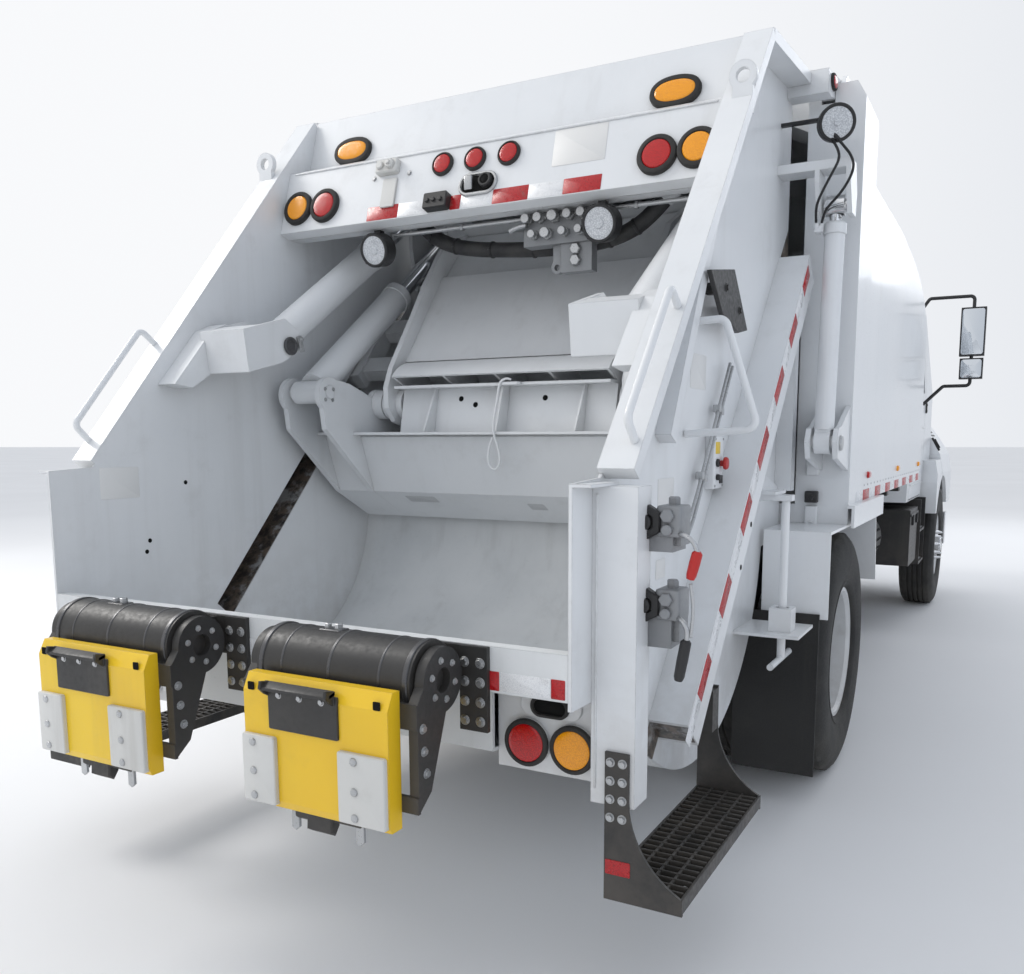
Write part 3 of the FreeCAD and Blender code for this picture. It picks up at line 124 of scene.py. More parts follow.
def surface(name, c1, c2, rough=(.30, .45), big=1.6, fine=70.0, bump=.06, depth=.0006, metal=0.0, coat=0.0,
            dirt_and_shade=None, corner_shade=0.0, edge=None, bevel=.003, low=None, spec=.5, streaks=0.0, speck=None, track=False):
    """Paint, plastic, rubber or metal: two tones clouded together, grime in streaks and blots, painted shade darkening
    the corners, dust low down, worn edges, and a fine skin texture."""
    m = bpy.data.materials.new(name)
    m.use_nodes = True
    nt = m.node_tree
    nt.nodes.clear()
    out = nt.nodes.new('ShaderNodeOutputMaterial')
    b = nt.nodes.new('ShaderNodeBsdfPrincipled')
    nt.links.new(b.outputs[0], out.inputs[0])
    tc = nt.nodes.new('ShaderNodeTexCoord')
    co = tc.outputs['Object']
    cloud = noise_at(nt, co, big, 5)
    grain = noise_at(nt, co, fine, 5, .6)
    col = mix(nt, ramp(nt, cloud, .3, .7), c1, c2)
    if speck:
        col = mix(nt, ramp(nt, grain, speck[1], speck[1] + .06), col, speck[0])
    if dirt_and_shade:
        if streaks:
            s = noise_at(nt, co, 9.0, 5, .6, (1.0, 1.0, .07))
            col = mix(nt, mul(nt, ramp(nt, s, .52, .74), streaks), col, dirt_and_shade)
        blot = noise_at(nt, co, 4.5, 7, .68)
        col = mix(nt, mul(nt, ramp(nt, blot, .54, .72), .35 * max(streaks, corner_shade, .15)), col, dirt_and_shade)
        # painted shade: ambient occlusion darkens corners, creases and recesses towards the dirt colour, broken up by
        # the blot noise
        if corner_shade:
            ao = nt.nodes.new('ShaderNodeAmbientOcclusion')
            ao.samples = 1
            ao.inputs['Distance'].default_value = .09
            k = ramp(nt, ao.outputs['AO'], .15, .85, corner_shade, 0.0)
            col = mix(nt, mul(nt, k, ramp(nt, blot, .25, .6, .35, 1.0)), col, dirt_and_shade)
    if low:
        sep = nt.nodes.new('ShaderNodeSeparateXYZ')
        nt.links.new(co, sep.inputs[0])
        k = ramp(nt, sep.outputs[2], low[1], low[2], low[3], 0.0)
        col = mix(nt, mul(nt, k, ramp(nt, noise_at(nt, co, 7.0, 6, .65), .3, .62)), col, low[0])
    if track:
        sp = nt.nodes.new('ShaderNodeSeparateXYZ')
        nt.links.new(co, sp.inputs[0])
        ax = nt.nodes.new('ShaderNodeMath')
        ax.operation = 'ABSOLUTE'
        nt.links.new(sp.outputs[0], ax.inputs[0])
        tt = nt.nodes.new('ShaderNodeVectorMath')
        tt.operation = 'DOT_PRODUCT'
        tt.inputs[1].default_value = (0, .7428, .6695)
        nt.links.new(co, tt.inputs[0])
        off = .7428 * (.960 + DY) + .6695 * 1.430
        k = mul(nt, ramp(nt, ax.outputs[0], .934, .940), ramp(nt, ax.outputs[0], 1.060, 1.056))
        k = mul(nt, k, ramp(nt, tt.outputs['Value'], off - .0515, off - .0495))
        k = mul(nt, k, ramp(nt, tt.outputs['Value'], off + .0515, off + .0495))
        rub = mix(nt, ramp(nt, noise_at(nt, co, 26.0, 6, .7), .38, .62), (.045, .041, .038), (.19, .15, .12))
        rub = mix(nt, ramp(nt, noise_at(nt, co, 7.0, 6, .7), .50, .62), rub, (.40, .40, .40))
        col = mix(nt, k, col, rub)
    nrm = None
    if bevel:
        bv = nt.nodes.new('ShaderNodeBevel')
        bv.samples = 2
        bv.inputs['Radius'].default_value = bevel
        nrm = bv.outputs[0]
        if edge:
            g = nt.nodes.new('ShaderNodeNewGeometry')
            d = nt.nodes.new('ShaderNodeVectorMath')
            d.operation = 'DOT_PRODUCT'
            nt.links.new(nrm, d.inputs[0])
            nt.links.new(g.outputs['Normal'], d.inputs[1])
            k = ramp(nt, d.outputs['Value'], .955, .74, 0.0, edge[1])
            k = mul(nt, k, ramp(nt, noise_at(nt, co, 22.0, 6, .7), .42, .60))
            col = mix(nt, k, col, edge[0])
    nt.links.new(col, b.inputs['Base Color'])
    nt.links.new(ramp(nt, grain, .25, .75, rough[0], rough[1]), b.inputs['Roughness'])
    b.inputs['Metallic'].default_value = metal
    b.inputs['Specular IOR Level'].default_value = spec
    if coat:
        b.inputs['Coat Weight'].default_value = coat
        b.inputs['Coat Roughness'].default_value = .08
    bp = nt.nodes.new('ShaderNodeBump')
    bp.inputs['Strength'].default_value = bump
    bp.inputs['Distance'].default_value = depth
    nt.links.new(grain, bp.inputs['Height'])
    if nrm:
        nt.links.new(nrm, bp.inputs['Normal'])
    nt.links.new(bp.outputs[0], b.inputs['Normal'])
    return m


GRIME = (.17, .15, .125)
WHITE = surface("white_enamel", (.82, .835, .85), (.78, .80, .82), (.27, .31), fine=150, dirt_and_shade=(.46, .44, .41), corner_shade=.28,
                streaks=.05, coat=.25, bump=.02, bevel=.004, edge=((.45, .44, .42), .35), low=((.42, .38, .32), .35, 1.1, .35))
HOPWHITE = surface("white_enamel_hopper", (.81, .825, .84), (.755, .775, .795), (.31, .37), fine=150, dirt_and_shade=(.36, .345, .32), corner_shade=.34,
                   streaks=.10, coat=.12, bump=.025, bevel=.004, edge=((.34, .32, .30), .6), low=((.38, .35, .31), .45, 1.2, .3))
HOPSIDE = surface("white_enamel_side", (.81, .825, .84), (.755, .775, .795), (.31, .37), fine=150, dirt_and_shade=(.36, .345, .32), corner_shade=.34,
                  streaks=.10, coat=.12, bump=.025, bevel=.004, edge=((.34, .32, .30), .6), low=((.38, .35, .31), .45, 1.2, .3), track=True)
WORN = surface("worn_floor_white", (.80, .815, .82), (.70, .72, .73), (.26, .44), big=2.4, dirt_and_shade=(.34, .33, .31), corner_shade=.35,
               streaks=.16, bump=.12, bevel=.004, edge=((.52, .52, .53), .7))
BLACK = surface("black_chassis_paint", (.018, .018, .019), (.032, .031, .030), (.36, .56), dirt_and_shade=(.085, .078, .068), corner_shade=.5,
                streaks=.22, bump=.10, bevel=.003, edge=((.11, .105, .10), .6), low=((.14, .12, .10), .1, 1.0, .45))
ENGINE = surface("engine_cast_grey", (.14, .145, .15), (.085, .088, .09), (.42, .62), fine=120, bump=.3, dirt_and_shade=(.05, .045, .04),
                 corner_shade=.6, streaks=.2, bevel=.003)
GREYPL = surface("grey_plastic", (.19, .195, .20), (.15, .155, .16), (.42, .56), fine=220, bump=.18, depth=.0005, bevel=.003,
                 dirt_and_shade=(.08, .075, .07), corner_shade=.3)
BLACKPL = surface("black_plastic", (.014, .014, .015), (.024, .024, .025), (.34, .52), fine=260, bump=.16, depth=.0005,
                  bevel=.002, dirt_and_shade=(.07, .065, .06), corner_shade=.2)
ALU = surface("bright_aluminium", (.72, .73, .74), (.58, .59, .61), (.16, .34), big=5, fine=90, metal=1.0, bump=.06,
              dirt_and_shade=(.33, .32, .30), corner_shade=.35, bevel=.004)
RUBBER = surface("black_rubber", (.020, .020, .020), (.034, .033, .032), (.60, .78), fine=160, bump=.22, dirt_and_shade=(.11, .10, .09),
                 corner_shade=.25, streaks=.2, bevel=.002, spec=.35)
TYRE = surface("tyre_rubber", (.021, .021, .021), (.038, .037, .035), (.62, .82), big=6, fine=150, bump=.28, dirt_and_shade=(.15, .135, .115),
               corner_shade=.35, bevel=0, spec=.32, low=((.16, .145, .12), .02, .5, .25))
RIM = surface("white_rim_paint", (.74, .75, .76), (.62, .63, .64), (.28, .44), dirt_and_shade=(.24, .22, .19), corner_shade=.65, streaks=.12,
              bump=.07, bevel=.003, edge=((.32, .31, .30), .5), low=((.34, .30, .25), .1, .8, .4))
VALVE = surface("valve_grey", (.30, .31, .325), (.23, .24, .25), (.34, .5), fine=130, metal=.35, bump=.22, dirt_and_shade=(.10, .09, .08),
                corner_shade=.5, bevel=.003, edge=((.5, .5, .5), .4))
CHROME = surface("chrome_rod", (.86, .87, .88), (.78, .79, .81), (.06, .16), fine=140, metal=1.0, bump=.02, bevel=.002,
                 dirt_and_shade=(.35, .33, .30), corner_shade=.25)
STEEL = surface("zinc_steel", (.56, .57, .58), (.43, .44, .45), (.24, .42), fine=150, metal=.9, bump=.08, bevel=.0015,
                dirt_and_shade=(.22, .20, .17), corner_shade=.4)
YELLOW = surface("yellow_paint", (.93, .62, .012), (.86, .53, .010), (.30, .46), dirt_and_shade=(.30, .20, .05), corner_shade=.35, streaks=.10,
                 bump=.07, bevel=.003, edge=((.30, .26, .20), .5), coat=.25)
CABLE = surface("cable_sleeve_black", (.016, .016, .017), (.028, .028, .029), (.5, .66), fine=300, bump=.35, depth=.0008, bevel=0)
HOSE = surface("braided_hose_sleeve", (.022, .022, .024), (.048, .047, .046), (.55, .75), big=14, fine=240, bump=.6, depth=.0012, bevel=0)
RED = surface("red_lever_grip", (.55, .020, .016), (.42, .014, .012), (.30, .46), fine=120, bump=.08, bevel=.002, dirt_and_shade=(.15, .05, .04), corner_shade=.3)
PAD = surface("white_bumper_pad", (.72, .72, .70), (.62, .62, .60), (.5, .68), fine=120, bump=.15, bevel=.004, dirt_and_shade=(.30, .27, .23),
              corner_shade=.45, streaks=.25)
DRUM = surface("dark_satin_steel", (.12, .12, .125), (.07, .07, .073), (.26, .40), fine=110, metal=.6, bump=.1, bevel=.002,
               dirt_and_shade=(.04, .04, .04), corner_shade=.4, edge=((.4, .4, .4), .4))
SEAT = surface("dark_cab_vinyl", (.040, .040, .043), (.060, .059, .060), (.52, .7), fine=180, bump=.3, bevel=.003,
               dirt_and_shade=(.09, .08, .07), corner_shade=.2)
# near-black sheet laid where holes, slots and recesses show only shade: painted shade
SHADOW = surface("painted_shade_black", (.006, .006, .006), (.012, .012, .012), (.7, .9), bevel=0, spec=.1)
LABEL = surface("blank_label_white", (.80, .80, .79), (.74, .74, .73), (.35, .48), fine=160, bump=.03, bevel=0, dirt_and_shade=(.4, .38, .34), corner_shade=.25)
LABELY = surface("blank_label_yellow", (.80, .56, .04), (.74, .50, .03), (.35, .48), fine=160, bump=.03, bevel=0, dirt_and_shade=(.3, .22, .08), corner_shade=.25)
GREYLAB = surface("blank_panel_grey", (.58, .59, .60), (.52, .53, .54), (.38, .5), fine=160, bump=.03, bevel=0, dirt_and_shade=(.3, .29, .27), corner_shade=.25)
DISPLAY = surface("dark_control_panel", (.030, .032, .036), (.045, .047, .05), (.18, .3), fine=160, bump=.03, bevel=.001)


def lens(name, c1, c2, glow=0.0, ribs=140.0, axis=(1, .02, 1), rough=.12):
    """A moulded lamp lens: coloured plastic with fine prisms pressed into it."""
    m = bpy.data.materials.new(name)
    m.use_nodes = True
    nt = m.node_tree
    b = nt.nodes['Principled BSDF']
    tc = nt.nodes.new('ShaderNodeTexCoord')
    mp = nt.nodes.new('ShaderNodeMapping')
    mp.inputs['Scale'].default_value = axis
    nt.links.new(tc.outputs['Object'], mp.inputs['Vector'])
    v = nt.nodes.new('ShaderNodeTexVoronoi')
    v.inputs['Scale'].default_value = ribs
    nt.links.new(mp.outputs[0], v.inputs['Vector'])
    col = mix(nt, ramp(nt, v.outputs['Distance'], .05, .75), c1, c2)
    nt.links.new(col, b.inputs['Base Color'])
    g = noise_at(nt, tc.outputs['Object'], 60, 4)
    nt.links.new(ramp(nt, g, .3, .7, rough, rough + .12), b.inputs['Roughness'])
    b.inputs['Coat Weight'].default_value = .25
    b.inputs['Coat Roughness'].default_value = .05
    if glow:
        nt.links.new(col, b.inputs['Emission Color'])
        b.inputs['Emission Strength'].default_value = glow
    bp = nt.nodes.new('ShaderNodeBump')
    bp.inputs['Strength'].default_value = .35
    bp.inputs['Distance'].default_value = .0012
    nt.links.new(v.outputs['Distance'], bp.inputs['Height'])
    nt.links.new(bp.outputs[0], b.inputs['Normal'])
    return m


LRED = lens("red_lens", (.56, .004, .006), (.34, .003, .004), .10, 280)
LAMB = lens("amber_lens", (.92, .38, .006), (.74, .27, .005), .10, 280)
LCLR = lens("clear_lens", (.80, .82, .84), (.50, .52, .55), 0.0, 220, (1, 1, 1), .06)
LGREY = lens("grey_lamp_lens", (.46, .48, .50), (.27, .28, .30), 0.0, 120, (1, 1, 1), .1)


def tape(name, c1, c2):
    """Reflective tape: a honeycomb of cells under a clear film."""
    m = bpy.data.materials.new(name)
    m.use_nodes = True
    nt = m.node_tree
    b = nt.nodes['Principled BSDF']
    tc = nt.nodes.new('ShaderNodeTexCoord')
    v = nt.nodes.new('ShaderNodeTexVoronoi')
    v.feature = 'DISTANCE_TO_EDGE'
    v.inputs['Scale'].default_value = 230
    nt.links.new(tc.outputs['Object'], v.inputs['Vector'])
    col = mix(nt, ramp(nt, v.outputs['Distance'], .02, .12), c2, c1)
    col = mix(nt, mul(nt, ramp(nt, noise_at(nt, tc.outputs['Object'], 18, 6, .65), .55, .75), .35), col, GRIME)
    nt.links.new(col, b.inputs['Base Color'])
    nt.links.new(ramp(nt, noise_at(nt, tc.outputs['Object'], 45, 4), .3, .7, .22, .40), b.inputs['Roughness'])
    b.inputs['Coat Weight'].default_value = .12
    b.inputs['Coat Roughness'].default_value = .15
    bp = nt.nodes.new('ShaderNodeBump')
    bp.inputs['Strength'].default_value = .12
    bp.inputs['Distance'].default_value = .0004
    nt.links.new(v.outputs['Distance'], bp.inputs['Height'])
    nt.links.new(bp.outputs[0], b.inputs['Normal'])
    return m


TRED = tape("red_reflective_tape", (.50, .008, .012), (.27, .004, .007))
TWHT = tape("white_reflective_tape", (.84, .85, .86), (.66, .67, .69))


def glass_mat():
    m = bpy.data.materials.new("cab_glass")
    m.use_nodes = True
    nt = m.node_tree
    b = nt.nodes['Principled BSDF']
    tc = nt.nodes.new('ShaderNodeTexCoord')
    n = noise_at(nt, tc.outputs['Object'], 3, 5)
    nt.links.new(mix(nt, ramp(nt, n, .3, .7), (.10, .12, .125), (.14, .16, .165)), b.inputs['Base Color'])
    nt.links.new(ramp(nt, noise_at(nt, tc.outputs['Object'], 25, 5), .3, .8, .02, .10), b.inputs['Roughness'])
    b.inputs['Transmission Weight'].default_value = .55
    b.inputs['IOR'].default_value = 1.45
    b.inputs['Coat Weight'].default_value = .5
    b.inputs['Coat Roughness'].default_value = .02
    return m


GLASS = glass_mat()


def mirror_mat():
    m = bpy.data.materials.new("mirror_glass")
    m.use_nodes = True
    nt = m.node_tree
    b = nt.nodes['Principled BSDF']
    tc = nt.nodes.new('ShaderNodeTexCoord')
    nt.links.new(mix(nt, noise_at(nt, tc.outputs['Object'], 5, 4), (.62, .66, .70), (.74, .77, .80)), b.inputs['Base Color'])
    nt.links.new(ramp(nt, noise_at(nt, tc.outputs['Object'], 40, 5), .3, .8, .03, .09), b.inputs['Roughness'])
    b.inputs['Metallic'].default_value = 1.0
    return m


MIRROR = mirror_mat()


# ---------------------------------------------------------------- shapes
def axes(n, up):
    n = Vector(n).normalized()
    up = Vector(up)
    v = (up - n * n.dot(up)).normalized()
    return v.cross(n), v, n


class Shape:
    """One piece, built up from lofted rings in the frame's own metres."""

    def __init__(self):
        self.bm = bmesh.new()
        self.mi = 0

    def loft(self, loops, cap0=True, cap1=True, closed=False):
        rows = []
        for L in loops:
            rows.append([self.bm.verts.new(p) for p in L])
        if closed:
            rows.append(rows[0])
        for a, b in zip(rows, rows[1:]):
            ka, kb = len(a), len(b)
            if ka == 1 or kb == 1:
                k = max(ka, kb)
                for i in range(k):
                    q = (a[0], b[(i + 1) % k], b[i]) if ka == 1 else (a[i], a[(i + 1) % k], b[0])
                    self.bm.faces.new(q).material_index = self.mi
            else:
                for i in range(ka):
                    j = (i + 1) % ka
                    self.bm.faces.new((a[i], a[j], b[j], b[i])).material_index = self.mi
        if not closed:
            if cap0 and len(rows[0]) > 2:
                self.bm.faces.new(list(reversed(rows[0]))).material_index = self.mi
            if cap1 and len(rows[-1]) > 2:
                self.bm.faces.new(rows[-1]).material_index = self.mi
        return self

    def lathe(self, p, n, prof, seg=32, up=None, turn=0.0, **k):
        """prof is (radius, height along n) pairs; a radius of 0 is a pole."""
        p = Vector(p)
        n = Vector(n).normalized()
        up = up or ((0, 0, 1) if abs(n.z) < .9 else (0, 1, 0))
        u, v, n = axes(n, up)
        loops = []
        for r, h in prof:
            if r < 1e-7:
                loops.append([p + n * h])
            else:
                loops.append([p + n * h + u * (r * math.cos(turn + 2 * math.pi * i / seg)) + v * (r * math.sin(turn + 2 * math.pi * i / seg))
                              for i in range(seg)])
        return self.loft(loops, **k)

    def outline(self, p, n, up, fn, prof, **k):
        """fn(inset) gives a flat outline; prof is (inset, height) pairs."""
        p = Vector(p)
        u, v, n = axes(n, up)
        return self.loft([[p + u * a + v * b + n * h for a, b in fn(t)] for t, h in prof], **k)

    def plate(self, p, n, up, w, h, t, r=.004, b=.0015):
        """A plate w wide, h high, t thick standing on the point p of a face, corners rounded by r."""
        b = min(b, t * .45)
        return self.outline(p, n, up, lambda i: rrect(w, h, r, i), [(0, 0), (0, t - b), (b * .35, t - b * .35), (b, t)])

    def block(self, lo, hi, r=.003):
        lo, hi = Vector(lo), Vector(hi)
        c = (lo + hi) / 2
        s = hi - lo
        return self.outline((c.x, c.y, lo.z), (0, 0, 1), (0, 1, 0), lambda i: rrect(s.x, s.y, r * 1.5, i),
                            [(r, 0), (r * .3, r * .3), (0, r), (0, s.z - r), (r * .3, s.z - r * .3), (r, s.z)])

    def poly(self, pts, vec, b=.0015):
        """A flat polygon of 3-D points, thickened along vec, its rim chamfered."""
        pts = [Vector(q) for q in pts]
        vec = Vector(vec)
        t = vec.length
        n = vec.normalized()
        c = sum(pts, Vector()) / len(pts)
        area = sum((pts[i] - c).cross(pts[(i + 1) % len(pts)] - c).dot(n) for i in range(len(pts)))
        if area < 0:
            pts.reverse()
        b = min(b, t * .4)
        return self.loft([inset3(pts, n, 0), [q + n * (t - b) for q in pts], [q + vec for q in inset3(pts, n, b)]])

    def pipe(self, pts, r, seg=14, ends=True, smooth=4):
        """A round bar or tube along a path, its corners eased."""
        pts = [Vector(q) for q in pts]
        for _ in range(smooth if len(pts) > 2 else 0):
            new = [pts[0]]
            for a, b in zip(pts, pts[1:]):
                new += [a.lerp(b, .25), a.lerp(b, .75)]
            new.append(pts[-1])
            pts = new
            if len(pts) > 90:
                break
        t = (pts[1] - pts[0]).normalized()
        u = t.orthogonal().normalized()
        loops = []
        for i, q in enumerate(pts):
            t2 = ((pts[min(i + 1, len(pts) - 1)] - pts[max(i - 1, 0)])).normalized()
            u = (u - t2 * u.dot(t2)).normalized()
            v = t2.cross(u)
            loops.append([q + u * (r * math.cos(2 * math.pi * k / seg)) + v * (r * math.sin(2 * math.pi * k / seg)) for k in range(seg)])
        if ends:
            c0, c1 = pts[0], pts[-1]
            t0, t1 = (pts[1] - pts[0]).normalized(), (pts[-1] - pts[-2]).normalized()
            e = min(r * .25, .003)
            loops = [[c0 + (q - c0) * (1 - e / r) for q in loops[0]], [q + t0 * e for q in loops[0]]] + loops[1:-1] + \
                    [[q - t1 * e for q in loops[-1]], [c1 + (q - c1) * (1 - e / r) for q in loops[-1]]]
        return self.loft(loops)

    def bolt(self, p, n, r=.010, h=.007, washer=True, turn=.3):
        if washer:
            self.lathe(p, n, [(r * 1.35, -.001), (r * 1.35, h * .16), (r * 1.28, h * .24)], 20)
        self.lathe(p, n, [(r, 0), (r, h * .82), (r * .9, h)], 6, turn=turn)
        return self

    def make(self, name, mats, body, slot, smooth=32, replaces=()):
        bmesh.ops.recalc_face_normals(self.bm, faces=self.bm.faces)
        me = bpy.data.meshes.new(name)
        self.bm.to_mesh(me)
        self.bm.free()
        for m in (mats if isinstance(mats, (list, tuple)) else [mats]):
            me.materials.append(m)
        me.polygons.foreach_set("use_smooth", [True] * len(me.polygons))
        me.set_sharp_from_angle(angle=math.radians(smooth))
        ob = bpy.data.objects.new(name, me)
        COL.objects.link(ob)
        if replaces:
            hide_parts(*replaces)
        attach(ob, body)
        return ob


def inset3(pts, n, t):
    if t <= 0:
        return list(pts)
    res = []
    k = len(pts)
    for i in range(k):
        a, b, c = pts[i - 1], pts[i], pts[(i + 1) % k]
        e1, e2 = (b - a).normalized(), (c - b).normalized()
        m1, m2 = n.cross(e1), n.cross(e2)
        m = (m1 + m2)
        d = m.length_squared
        res.append(b + m * (2 * t / d if d > 1e-6 else 0))
    return res


def rrect(w, h, r, i=0.0, seg=4):
    r = max(min(r, w / 2, h / 2) - i, .0002)
    a, b = w / 2 - i - r, h / 2 - i - r
    res = []
    for cx, cy, q in ((a, b, 0), (-a, b, 1), (-a, -b, 2), (a, -b, 3)):
        for k in range(seg + 1):
            t = math.pi / 2 * (q + k / seg)
            res.append((cx + r * math.cos(t), cy + r * math.sin(t)))
    return res


def ellipse(a, b, i=0.0, seg=44, p=2.25):
    res = []
    for k in range(seg):
        t = 2 * math.pi * k / seg
        c, s = math.cos(t), math.sin(t)
        res.append(((a - i) * math.copysign(abs(c) ** (2 / p), c), (b - i) * math.copysign(abs(s) ** (2 / p), s)))
    return res


_tree = {}


def land(p, d, *nodes, reach=3.0):
    """Where a line from p along d meets those CAD nodes: the point and the face's direction."""
    best = None
    for n in nodes:
        if n not in _tree:
            bm = bmesh.new()
            bm.from_mesh(N[n].data)
            _tree[n] = BVHTree.FromBMesh(bm)
            bm.free()
        hit = _tree[n].ray_cast(Vector(p), Vector(d).normalized(), reach)
        if hit[0] is not None and (best is None or hit[3] < best[2]):
            nn = hit[1] if hit[1].dot(Vector(d)) < 0 else -hit[1]
            best = (hit[0], nn, hit[3])
    return best


# ---------------------------------------------------------------- cords
def nurbs(name, pts, r, mat, caps=True):
    cu = bpy.data.curves.new(name, 'CURVE')
    cu.dimensions = '3D'
    sp = cu.splines.new('NURBS')
    sp.points.add(len(pts) - 1)
    for q, p in zip(sp.points, pts):
        q.co = (p[0], p[1], p[2], 1)
    sp.order_u = 3
    sp.use_endpoint_u = True
    sp.resolution_u = 16
    cu.bevel_depth = r
    cu.bevel_resolution = 6
    cu.use_fill_caps = caps
    cu.materials.append(mat)
    ob = bpy.data.objects.new(name, cu)
    COL.objects.link(ob)
    return ob


INNER = [(-1.150, 2.072, 2.556), (-1.172, 2.092, 2.522), (-1.184, 2.118, 2.478), (-1.168, 2.150, 2.428), (-1.142, 2.156, 2.376),
         (-1.114, 2.130, 2.336), (-1.098, 2.086, 2.312), (-1.094, 2.050, 2.278)]
OUTER = [(-1.170, 2.072, 2.558), (-1.192, 2.076, 2.530), (-1.218, 2.088, 2.496), (-1.236, 2.112, 2.450), (-1.224, 2.126, 2.400),
         (-1.190, 2.118, 2.354), (-1.154, 2.092, 2.330), (-1.126, 2.062, 2.312), (-1.112, 2.034, 2.278)]
BUNDLE = [(.404, 2.535, 2.352), (.352, 2.535, 2.294), (.270, 2.535, 2.240), (.150, 2.535, 2.208), (.010, 2.535, 2.192),
          (-.140, 2.535, 2.180), (-.290, 2.535, 2.175), (-.400, 2.535, 2.180), (-.500, 2.535, 2.196), (-.596, 2.535, 2.238),
          (-.664, 2.535, 2.304)]
for nm, pts, r, ln, stiff, mat, sl in (("lead_inner", INNER, .005, .370, "limp", CABLE, "cable_rubber"),
                                       ("lead_outer", OUTER, .005, .383, "limp", CABLE, "cable_rubber"),
                                       ("hose_bundle", BUNDLE, .029, 1.150, "medium", HOSE, "cable_rubber")):
    ob = nurbs(nm, pts, r, mat)
    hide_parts({"lead_inner": "lamp_lead_inner", "lead_outer": "lamp_lead_outer", "hose_bundle": "packer_hose_bundle"}[nm])
    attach(ob, "tailgate")

# ---------------------------------------------------------------- finishes of the CAD nodes
FINISH = {"white_paint": WHITE, "black_paint": BLACK, "engine_grey": ENGINE, "clear_glass": GLASS, "grey_plastic": GREYPL,
          "black_plastic": BLACKPL, "bright_aluminium": ALU, "black_rubber": RUBBER, "tyre_rubber": TYRE, "rim_paint": RIM,
          "valve_grey": VALVE, "chrome_rod": CHROME, "yellow_paint": YELLOW, "cable_rubber": CABLE}
SPECIAL = {"hopper_left_side": HOPSIDE, "hopper_right_side": HOPSIDE, "header_panel": HOPWHITE, "hopper_floor": WORN,
           "packer_carriage": HOPWHITE, "sweep_blade": HOPWHITE, "ejector_panel": WORN, "cab_interior": SEAT, "lifter_drums": BLACK,
           "work_lamps": BLACKPL}
slot_of = {}
for row in frame["record"].get("subparts", []):
    slot_of[row["node"]] = row["material_slot"]
for n, o in N.items():
    m = SPECIAL.get(n) or FINISH.get(slot_of.get(n), WHITE)
    if not o.material_slots:
        print("no slot on", n)
    for s in o.material_slots:
        s.material = m

# ---------------------------------------------------------------- rear header: lamps, tapes, blank panels
def onto(p, n, *nodes, back=.20):
    """The point of a CAD face under p, looked for from outside along its direction n."""
    p, n = Vector(p), Vector(n).normalized()
    h = land(p + n * back, -n, *nodes, reach=back * 2)
    return h[0] if h else p


NU, NL, REAR, RIGHT, LEFT, UP = Vector((0, .9655, .2603)), Vector((0, .9635, .2676)), Vector((0, 1, 0)), Vector((-1, 0, 0)), Vector((1, 0, 0)), Vector((0, 0, 1))


def low_face(x, z):
    return onto(T(x, 1.080 + (2.552 - z) / .252 * .070, z), NL, "header_panel")


def up_face(x, z):
    return onto(T(x, .900 + (2.806 - z) / .204 * .055, z), NU, "header_panel")


rims, red, amb = Shape(), Shape(), Shape()
for x, z in ((.705, 2.647), (-.705, 2.647)):
    p = up_face(x, z)
    rims.outline(p, NU, UP, lambda i: ellipse(.0935, .059, i), [(0, -.001), (0, .012), (.003, .017), (.008, .0185), (.019, .018), (.021, .010)])
    amb.outline(p, NU, UP, lambda i: ellipse(.074, .039, i), [(0, .002), (0, .0165), (.002, .0185), (.008, .020), (.018, .0205), (.030, .021)])


def round_lamp(p, n, ro, rl, lensS, proud=.018):
    rims.lathe(p, n, [(ro, -.001), (ro, proud * .6), (ro - .003, proud * .9), (ro - .008, proud), (rl + .004, proud), (rl + .001, proud * .7)], 40)
    lensS.lathe(p, n, [(rl + .001, .001), (rl + .001, proud * .8), (rl - .002, proud * .98), (rl * .8, proud * 1.04), (rl * .45, proud * 1.08), (0, proud * 1.1)], 40)


for x in (-.710, .710):
    round_lamp(low_face(x, 2.392), NL, .0705, .0495, red)
for x in (-.850, .850):
    round_lamp(low_face(x, 2.396), NL, .0705, .0495, amb)
for x in (.157, .014, -.130):
    round_lamp(low_face(x, 2.485), NL, .046, .035, red, .014)
# stop and turn lamps in the boxes under the sill
for s in (1, -1):
    for x, L in ((.731, red), (.866, amb)):
        p = onto(T(s * x, 2.072, .665), REAR, "tail_lamp_boxes")
        round_lamp(p, REAR, .0648, .050, L, .012)
# side markers high on the shoulders
for s in (1, -1):
    h = land(T(s * 1.6, .25, 2.84), (-s, 0, 0), "hopper_left_side" if s > 0 else "hopper_right_side")
    if h:
        rims.outline(h[0], (s, 0, 0), UP, lambda i: ellipse(.045, .030, i), [(0, -.001), (0, .008), (.003, .011), (.008, .011), (.009, .008)])
        red.outline(h[0], (s, 0, 0), UP, lambda i: ellipse(.037, .022, i), [(0, .001), (0, .009), (.004, .013), (.012, .0145)])
rims.make("lamp_grommets", RUBBER, "tailgate", "black_rubber")
red.make("red_lamp_lenses", LRED, "tailgate", "clear_glass")
amb.make("amber_lamp_lenses", LAMB, "tailgate", "clear_glass")

tr, tw = Shape(), Shape()
for a, b in ((.488, .341), (.100, .056), (-.083, -.230), (-.369, -.514)):
    tr.plate(low_face((a + b) / 2, 2.331), NL, UP, abs(a - b), .056, .0012, .002, .0004)
for a, b in ((.341, .203), (.056, -.083), (-.230, -.369)):
    tw.plate(low_face((a + b) / 2, 2.331), NL, UP, abs(a - b) - .002, .054, .0011, .002, .0004)
